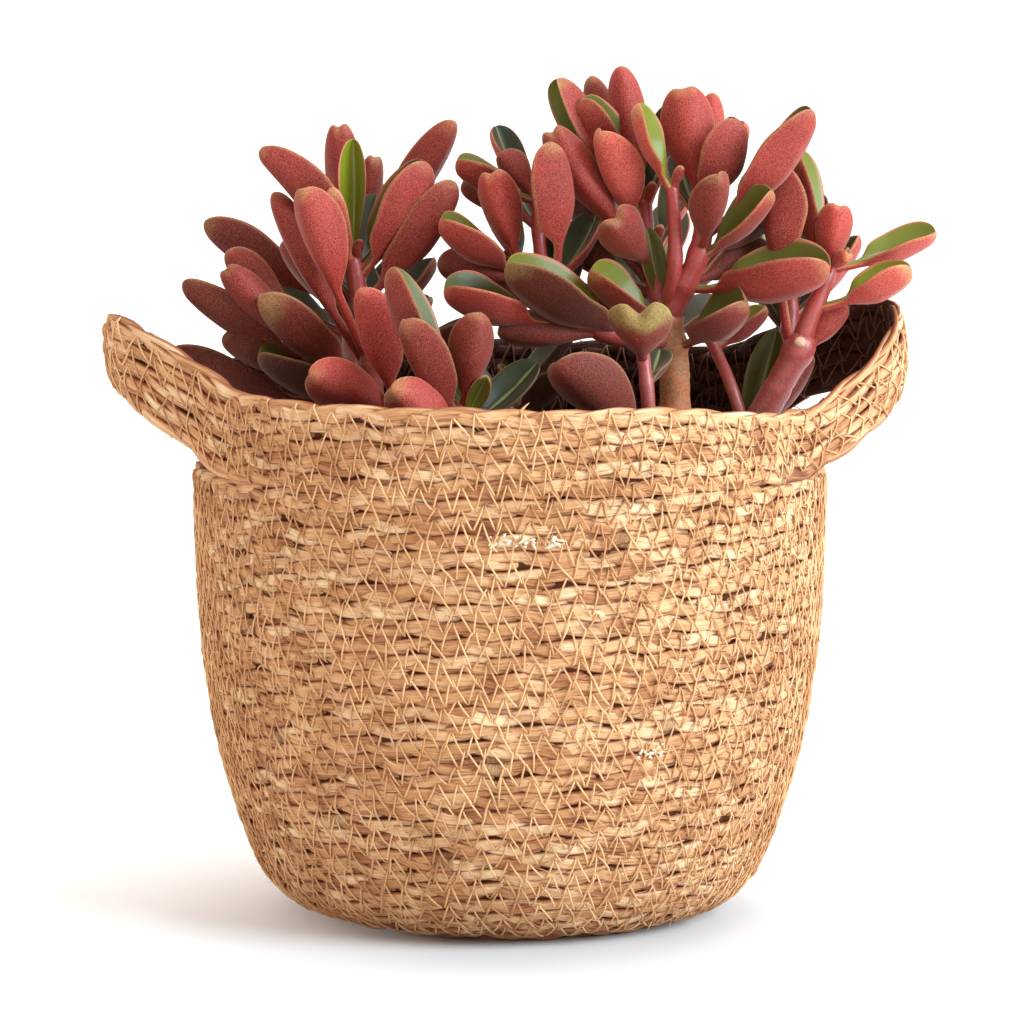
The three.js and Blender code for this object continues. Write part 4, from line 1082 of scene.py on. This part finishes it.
def plait(surface, row, length, step, seed, shapes, marks):
    """One closed row of three strands on a surface, added to the shapes and to their marks."""
    periods = max(2, round(length / PLAIT_PERIOD))
    count = round(length / step)
    draw = random(seed)
    start = draw.uniform(0, 2 * math.pi)
    turn = start + np.arange(count) * 2 * math.pi / count
    wander = ROW_WANDER * drift(turn, seed)
    for strand in range(3):
        sway = STRAND_SWAY * drift(turn, seed + 31 * strand + 1, WAVES["sway"])
        phase = periods * turn + 2 * math.pi * strand / 3 + sway + draw.uniform(0, 0.4)
        stray = STRAND_ASIDE * drift(turn, seed + strand, WAVES["aside"])
        aside = PLAIT_SWING * np.sin(phase) + wander + stray
        rise = STRAND_LIFT * drift(turn, seed + 3 + strand, WAVES["lift"])
        lift = -PLAIT_SUNK + PLAIT_DEPTH * np.sin(2 * phase) + rise
        path = surface(row, aside, turn, lift)
        out = surface(row, aside, turn, lift + 0.5) - path
        wide = STRAND_WIDE * (1 + STRAND_UNEVEN * drift(turn, seed + 7 + strand, WAVES["wide"]))
        thick = STRAND_THICK * (1 + STRAND_UNEVEN * drift(turn, seed + 9 + strand, WAVES["thick"]))
        places, faces, faced, crossed = strand_shape(path, out, wide, thick)
        shapes.append((places, [faces]))
        marks["facing"].append(faced)
        marks["across"].append(crossed)
        marks["run"].append(np.repeat((turn - start) * length / 2 / math.pi, STRAND_SIDES))
        marks["kind"].append(np.full(len(places), draw.uniform(0, 1)))


def lay_rows(name, surface, rows, lengths, step, seed):
    """Rows of plait as one piece of the basket."""
    shapes, marks = [], {"facing": [], "across": [], "run": [], "kind": []}
    for index, (row, length) in enumerate(zip(rows, lengths)):
        plait(surface, row, length, step, seed + 101 * index, shapes, marks)
    places, faces = gather(shapes)
    places[:, 2] = places[:, 2].clip(TABLE_CLEAR)
    marks = {key: np.concatenate(values) for key, values in marks.items()}
    piece(name, places, faces, seagrass, ["basket"], marks)


seagrass = Finish("seagrass", specular_ior_level=0.25)
facing, across, run, kind = (seagrass.mark(name) for name in ("facing", "across", "run", "kind"))
grass_place = seagrass.place()
fibres = seagrass.grain(seagrass.join(0.022 * run, 0.55 * across, 40 * kind), 5.0, 4.0, 0.65)
patches = seagrass.grain(grass_place, 55, 4.0, 0.6)
stretches = seagrass.grain(seagrass.join(0.011 * run, 0.2 * facing, 60 * kind), 5.0, 2.0)
fleck = seagrass.grain(grass_place, 700, 3.0, 0.6)
paleness = 0.35 * kind + 1.3 * (stretches - 0.5) + 0.4 * (patches - 0.5) + 0.9 * (fibres - 0.5) + 0.36
straw = seagrass.ramp(paleness, [
    (0.0, paint(116, 64, 40)), (0.26, paint(172, 114, 74)), (0.52, paint(212, 157, 108)),
    (1.0, paint(250, 220, 176))])
straw = seagrass.mix(0.55 * seagrass.between(fibres, 0.44, 0.26), straw, paint(104, 58, 38))
straw = seagrass.mix(0.35 * seagrass.between(fleck, 0.66, 0.8), straw, paint(110, 62, 40))
# Painted shade: the strands darken to brown along their sides and edges, where they dip between their
# neighbours, and nearly to black on their backs, which also show inside the basket.
straw = seagrass.mix(0.8 * seagrass.between(facing, 0.5, -0.1), straw, paint(124, 58, 32))
straw = seagrass.mix(0.7 * seagrass.between(across * across, 0.42, 0.84), straw, paint(140, 66, 36))
back_shade = seagrass.between(facing, 0.1, -0.6)
seagrass.wear("base_color", seagrass.mix(0.92 * back_shade, straw, paint(54, 27, 15)))
seagrass.wear("roughness", 0.5 + 0.3 * fibres)
seagrass.relief(fibres, 0.0007)


def wall_row(row, aside, turn, lift):
    """A place beside a row of the wall, which is named by its millimetres up the wall's curve."""
    return on_wall(row + aside, turn, lift)


def band_row(row, aside, turn, lift):
    """A place beside a row of the rim band, which is named by its count from the top."""
    return on_band(row - aside / ROW, turn, lift)


def floor_row(row, aside, turn, lift):
    """A place beside a row of the floor, which is named by its radius."""
    return on_floor(row + aside, turn, lift)


wall_count = round(WALL_LONG / ROW)
wall_pitch = WALL_LONG / wall_count
wall_ups = (np.arange(wall_count) + 0.5) * wall_pitch
wall_lengths = 2 * math.pi * np.interp(wall_ups, wall_run, wall_rows[:, 0])
half_way = wall_count // 2
lay_rows("wall_plait_low", wall_row, wall_ups[:half_way], wall_lengths[:half_way], PLAIT_STEP, 3000)
lay_rows("wall_plait_high", wall_row, wall_ups[half_way:], wall_lengths[half_way:], PLAIT_STEP, 6000)
band_rows = np.arange(BAND_ROWS) + 0.5
lay_rows("rim_plait", band_row, band_rows, [BAND_LENGTH] * BAND_ROWS, RIM_STEP, 9000)
floor_radii = np.arange(FLOOR_RADIUS - ROW / 2, 2, -ROW)
lay_rows("floor_plait", floor_row, floor_radii, 2 * math.pi * floor_radii, PLAIT_STEP, 12000)


# Basket lining
# Behind the plait lies a thin shell that closes the gaps between the rows, and its dark brown is painted
# shade for those gaps. It is one thin shell for the wall and the floor and another for the rim band, paler on
# the outside.
LINING_THICK = 0.5
LINING_COLUMNS = 144
LINING_FLOOR = 2.3
LINING_RADII = (44, 20, 0.5)
lining = Finish("basket_lining", roughness=0.95, specular_ior_level=0.2)
lining_grain = lining.grain(lining.place(), 500, 5.0, 0.7)
# Painted shade: the lining's brown stands in for the deep shade between the rows, and is darker still on its
# inner face inside the basket.
inside_painted_shade = lining.mix(lining_grain, paint(38, 19, 11), paint(62, 34, 20))
gap_painted_shade = lining.mix(lining_grain, paint(64, 32, 18), paint(108, 62, 37))
lining.wear("base_color", lining.mix(lining.mark("outside"), inside_painted_shade, gap_painted_shade))
lining.relief(lining_grain, 0.0008)
lining_turn = full_turn(LINING_COLUMNS)


def lay_lining(name, surface, spots, flat, order):
    """A closed shell behind the rows of a surface. order is -1 where the spots run downward."""
    sunk = -PLAIT_SUNK + 0 * lining_turn
    outer = [surface(spot, lining_turn, sunk) for spot in spots]
    inside = [surface(spot, lining_turn, sunk - LINING_THICK) for spot in spots[::-1]]
    rings = np.array([*outer, *inside, *flat])
    faces = quads(len(rings) + 1, LINING_COLUMNS)[:, ::order] % (len(rings) * LINING_COLUMNS)
    is_outside = np.repeat(np.arange(len(rings)) < len(outer), LINING_COLUMNS)
    piece(name, rings, [faces], lining, ["basket"], {"outside": is_outside})


flat = [round_axis(radius, lining_turn, FLOOR_THICK) for radius in LINING_RADII]
flat += [round_axis(radius, lining_turn, LINING_FLOOR) for radius in LINING_RADII[::-1]]
lay_lining("basket_lining", on_wall, np.linspace(0.4, WALL_LONG - 0.3, 60), flat, 1)
lay_lining("rim_lining", on_band, np.linspace(0.25, BAND_ROWS - 0.2, 14), [], -1)


# Stitching
# A pale twisted thread, machine sewn in a zigzag over each seam between two rows. Its turns dip into the
# plait, its slanting legs stand a little proud of it, and here and there a leg hangs slack.
THREAD_RADIUS = 0.24
ZIGZAG_HIGH = 7.0
LEG_WIDE = 2.7
LEG_LEAN = -0.42
LEG_SHARES = np.array([0, 0.14, 0.38, 0.62, 0.86, 1])
LEG_PROUD = np.array([-0.8, 0.22, 0.38, 0.38, 0.22, -0.8])
LEG_SLACK = (-0.12, 0.3)
LEG_STRAY = 0.5
LEG_UNEVEN = (0.6, 1.2)
STEP_UNEVEN = 0.3
THREAD_SIDES = 4
SEWN_DOWN = ((-2.4, -0.74), (0.74, 2.4))
thread_finish = Finish("stitching_thread", roughness=0.7, specular_ior_level=0.3)
thread_place = thread_finish.place()
thread_patch = thread_finish.grain(thread_place, 90, 3.0)
thread_shade = thread_finish.between(thread_patch, 0.3, 0.7)
thread_finish.wear("base_color", thread_finish.mix(thread_shade, paint(188, 134, 88), paint(228, 182, 132)))
thread_finish.relief(thread_finish.grain(thread_place, 4000, 2.0), 0.0001)


def sew(surface, row, length, seed, side=1, ends=None):
    """The legs of one zigzag seam as closed threads. side is -1 on the inside of the basket."""
    draw = random(seed)
    first_turn = draw.uniform(0, 2 * math.pi)
    start, end = ends or (first_turn, first_turn + 2 * math.pi)
    legs = 2 * round(length * (end - start) / (2 * math.pi) / LEG_WIDE / 2)
    odd = np.arange(legs + 1) % 2
    lean = LEG_LEAN * draw.uniform(0.2, 1.2)
    steps = np.arange(legs + 1) + lean * odd + draw.uniform(-STEP_UNEVEN, STEP_UNEVEN, legs + 1)
    turns = start + steps * (end - start) / legs
    heights = (odd - 0.5) * ZIGZAG_HIGH * draw.uniform(*LEG_UNEVEN, legs + 1)
    shares = LEG_SHARES[None, :]
    turn = turns[:-1, None] * (1 - shares) + turns[1:, None] * shares
    aside = heights[:-1, None] * (1 - shares) + heights[1:, None] * shares
    middle = np.sin(math.pi * shares)
    aside = aside + draw.normal(0, LEG_STRAY, (legs, 1)) * middle
    lift = side * (LEG_PROUD + draw.uniform(*LEG_SLACK, (legs, 1)) * middle)
    if side < 0:
        lift = lift - 2 * PLAIT_SUNK
    path = surface(row, aside.ravel(), turn.ravel(), lift.ravel())
    out = surface(row, aside.ravel(), turn.ravel(), lift.ravel() + 0.5) - path
    path, out = path.reshape(legs, -1, 3), out.reshape(legs, -1, 3)
    ahead = unit(np.gradient(path, axis=1))
    out = square_to(ahead, out)
    beside = np.cross(out, ahead)
    corner = (np.arange(THREAD_SIDES) * 2 * math.pi / THREAD_SIDES)[:, None]
    ring = THREAD_RADIUS * (np.cos(corner) * beside[:, :, None] + np.sin(corner) * out[:, :, None])
    places = (path[:, :, None] + ring).reshape(-1, 3)
    corners = len(LEG_SHARES) * THREAD_SIDES
    first = np.arange(THREAD_SIDES)
    caps = [first[::-1], corners - THREAD_SIDES + first]
    one = np.concatenate([quads(len(LEG_SHARES), THREAD_SIDES), caps])
    faces = (one[None] + (np.arange(legs) * corners)[:, None, None]).reshape(-1, THREAD_SIDES)
    return places, [faces]


# The stitches inside the basket are the same pale thread, coloured dark brown as painted shade.
thread_in_shade = Finish("inside_thread", roughness=0.75)
inner_patch = thread_in_shade.grain(thread_in_shade.place(), 90, 3.0)
thread_in_shade.wear("base_color", thread_in_shade.mix(inner_patch, paint(74, 38, 24), paint(116, 70, 44)))


def grass_piece(name, shapes, finish=thread_finish):
    """Several threads or ends of grass as one piece of the basket."""
    places, faces = gather(shapes)
    piece(name, places, faces, finish, ["basket"])


seam_ups = np.arange(2, wall_count) * wall_pitch
seam_lengths = 2 * math.pi * np.interp(seam_ups, wall_run, wall_rows[:, 0])
wall_seams = [sew(wall_row, up, length, 500 + index)
              for index, (up, length) in enumerate(zip(seam_ups, seam_lengths))]
middle_seam = len(wall_seams) // 2
grass_piece("wall_stitching_low", wall_seams[:middle_seam])
grass_piece("wall_stitching_high", wall_seams[middle_seam:])
rim_seams = [sew(band_row, down, BAND_LENGTH, 700 + down) for down in range(1, BAND_ROWS)]
inside_seams = [sew(band_row, down, BAND_LENGTH, 720 + down, side=-1) for down in range(1, BAND_ROWS)]
for ends in SEWN_DOWN:
    rim_seams.append(sew(band_row, BAND_ROWS, BAND_LENGTH, 740, ends=ends))
    inside_seams.append(sew(band_row, BAND_ROWS, BAND_LENGTH, 741, side=-1, ends=ends))
grass_piece("rim_stitching", rim_seams)
inside_seams += [sew(wall_row, up, length, 760 + index, side=-1)
                 for index, (up, length) in enumerate(zip(seam_ups[-4:], seam_lengths[-4:]))]
grass_piece("inside_stitching", inside_seams, thread_in_shade)


# Frayed grass
# Frayed ends of grass stand out of the plait all over the outside. At two places the white pith of a
# stalk has burst out, and a chip of straw sticks up from the rim.
FRAYS = 900
FRAY_RIM_SHARE = 0.25
FRAY_LOWEST = 9
FRAY_SUNK = 0.6
FRAY_RISE = (0.15, 0.5)
FRAY_BEND = 0.3
FRAY_LONG = (1.5, 5.5)
FRAY_RADIUS = (0.09, 0.2)
FRAY_TAPER = np.array([1, 0.9, 0.75, 0.5, 0.12])
FRAY_SIDES = 3
PITH_PATCHES = [dict(pixel=(524, 541), count=44, reach=8), dict(pixel=(648, 752), count=16, reach=4)]
PITH_LONG = (0.8, 1.8)
PITH_RADIUS = (0.35, 0.75)
CHIP = dict(turn=-1.543, ahead=(0.5, -0.1, 0.8), bend=(0.2, 0, 0), long=3.4, radius=0.5)


def fray(root, ahead, bend, long, radius):
    """A thin end of grass that leaves its root ahead, bends aside and tapers."""
    rows = len(FRAY_TAPER)
    steps = np.linspace(0, 1, rows)[:, None]
    path = root + long * (steps * ahead + steps**2 * bend)
    ring = np.arange(FRAY_SIDES)
    caps = np.array([ring[::-1], (rows - 1) * FRAY_SIDES + ring])
    return tube_rings(path, radius * FRAY_TAPER, FRAY_SIDES), [quads(rows, FRAY_SIDES), caps]


def on_front(across, down):
    """Where a pixel of the photograph meets the front of the wall: how far up, and the turn."""
    back = -BASKET_RADIUS
    for _ in range(6):
        x, _, height = from_photo(across, down, back)
        back = -math.sqrt(np.interp(height, wall_rows[:, 1], wall_rows[:, 0]) ** 2 - x * x)
    return np.interp(height, wall_rows[:, 1], wall_run), math.atan2(back, x)


def spot_on(surface, spot, turn, lift):
    """One place on a surface."""
    return surface(spot, np.array([turn]), np.array([lift]))[0]


fray_draw = random(88)
fray_shapes = []
for _ in range(FRAYS):
    turn = fray_draw.uniform(0, 2 * math.pi)
    if fray_draw.uniform() < FRAY_RIM_SHARE:
        surface, spot = on_band, fray_draw.uniform(0, BAND_ROWS)
    else:
        surface, spot = on_wall, fray_draw.uniform(FRAY_LOWEST, WALL_LONG)
    root = spot_on(surface, spot, turn, -FRAY_SUNK)
    out = unit(spot_on(surface, spot, turn, 1.0) - root)
    sideways = 0.9 * unit(np.cross(out, [0, 0, 1])) * fray_draw.choice([-1, 1])
    ahead = sideways + fray_draw.uniform(*FRAY_RISE) * out
    bend = FRAY_BEND * fray_draw.normal() * np.array([0, 0, 1])
    long, radius = fray_draw.uniform(*FRAY_LONG), fray_draw.uniform(*FRAY_RADIUS)
    fray_shapes.append(fray(root, ahead, bend, long, radius))
chip_root = spot_on(on_band, 0, CHIP["turn"], -1.0) - [0, 0, 0.8]
chip_ahead, chip_bend = np.array(CHIP["ahead"]), np.array(CHIP["bend"])
fray_shapes.append(fray(chip_root, chip_ahead, chip_bend, CHIP["long"], CHIP["radius"]))
grass_piece("frayed_grass", fray_shapes)

pith_finish = Finish("seagrass_pith", roughness=0.8)
pith_grain = pith_finish.grain(pith_finish.place(), 600, 3.0)
pith_finish.wear("base_color", pith_finish.mix(pith_grain, paint(222, 190, 150), paint(250, 240, 222)))
pith_shapes = []
for patch in PITH_PATCHES:
    up, turn = on_front(*patch["pixel"])
    for _ in range(patch["count"]):
        spot_turn = turn + fray_draw.uniform(-patch["reach"], patch["reach"]) / BASKET_RADIUS
        root = spot_on(on_wall, up + fray_draw.normal(0, 0.7), spot_turn, -0.2)
        out = unit(root * [1, 1, 0])
        ahead = unit(0.5 * out + fray_draw.normal(0, 0.6, 3) * [1, 1, 0.5])
        bend = fray_draw.normal(0, FRAY_BEND, 3)
        long, radius = fray_draw.uniform(*PITH_LONG), fray_draw.uniform(*PITH_RADIUS)
        pith_shapes.append(fray(root, ahead, bend, long, radius))
grass_piece("seagrass_pith", pith_shapes, pith_finish)


# Studio
# A white table that runs on behind the basket, a broad soft light from the front right, a weaker one from
# above and pale light all round. The camera stands where the photograph was taken from.
LIGHT_AIM = (0, 0, 0.1)
TABLE_HALF = 20
PAINTED_SHADOW_MIDDLE = (0.015, -0.05, 0)
GLOW_AND_SHADOW_STOPS = [(0.03, 0), (0.07, 0.18), (0.11, 0.4), (0.8, 0.7)]
ROOM_COLOUR = (1, 0.9, 0.82, 1)
ROOM_LIGHT = 0.9
SENSOR_WIDE = 36
PHOTO_WIDE = 1024


def lamp(name, place, size, power, colour=(1, 1, 1)):
    """A round lamp that shines at the plant."""
    data = bpy.data.lights.new(name, "AREA")
    data.shape = "DISK"
    data.size = size
    data.energy = power
    data.color = colour
    made = bpy.data.objects.new(name, data)
    bpy.context.scene.collection.objects.link(made)
    made.location = place
    made.rotation_mode = "QUATERNION"
    made.rotation_quaternion = Vector(np.array(place) - np.array(LIGHT_AIM)).to_track_quat("Z", "Y")


table_corners = [(x * TABLE_HALF, y * TABLE_HALF, 0) for x, y in ((-1, -1), (1, -1), (1, 1), (-1, 1))]
table_mesh = bpy.data.meshes.new("white_table")
table_mesh.from_pydata(table_corners, [], [(0, 1, 2, 3)])
table_finish = Finish("white_table", roughness=0.9, specular_ior_level=0.1, emission_strength=1)
table_place = table_finish.place()
table_cloud = table_finish.grain(table_place, 3.0)
table_finish.wear("base_color", table_finish.mix(table_cloud, paint(210, 209, 208), paint(214, 213, 212)))
# The table glows white, but not under the front of the basket: the missing glow there is a painted shadow.
from_front = table_finish.node("VectorMath", {"operation": "DISTANCE"}, {0: table_place, 1: PAINTED_SHADOW_MIDDLE}, 1)
glow_around_painted_shadow = table_finish.ramp(from_front, [(place, (light, light, light, 1)) for place, light in GLOW_AND_SHADOW_STOPS])
table_finish.wear("emission_color", glow_around_painted_shadow)
table_mesh.materials.append(table_finish.material)
table = bpy.data.objects.new("white_table", table_mesh)
bpy.context.scene.collection.objects.link(table)

lamp("key_light", place=(1.5, -0.9, 1.0), size=1.3, power=53, colour=(0.84, 1.08, 1.26))
lamp("top_light", place=(0.3, 0.2, 1.7), size=0.8, power=12)
world = bpy.data.worlds.new("white_room")
world.use_nodes = True
room = world.node_tree.nodes["Background"].inputs
room["Color"].default_value = ROOM_COLOUR
room["Strength"].default_value = ROOM_LIGHT
bpy.context.scene.world = world
bpy.context.scene.view_settings.view_transform = "Standard"

camera_data = bpy.data.cameras.new("camera")
camera_data.sensor_width = SENSOR_WIDE
camera_data.lens = VIEW["focal"] * SENSOR_WIDE / PHOTO_WIDE
camera_data.clip_end = 100
camera = bpy.data.objects.new("camera", camera_data)
bpy.context.scene.collection.objects.link(camera)
camera.location = [VIEW[key] / MM_IN_METRE for key in ("right", "back", "up")]
camera.rotation_euler = (math.radians(90 - VIEW["pitch"]), 0, 0)
bpy.context.scene.camera = camera
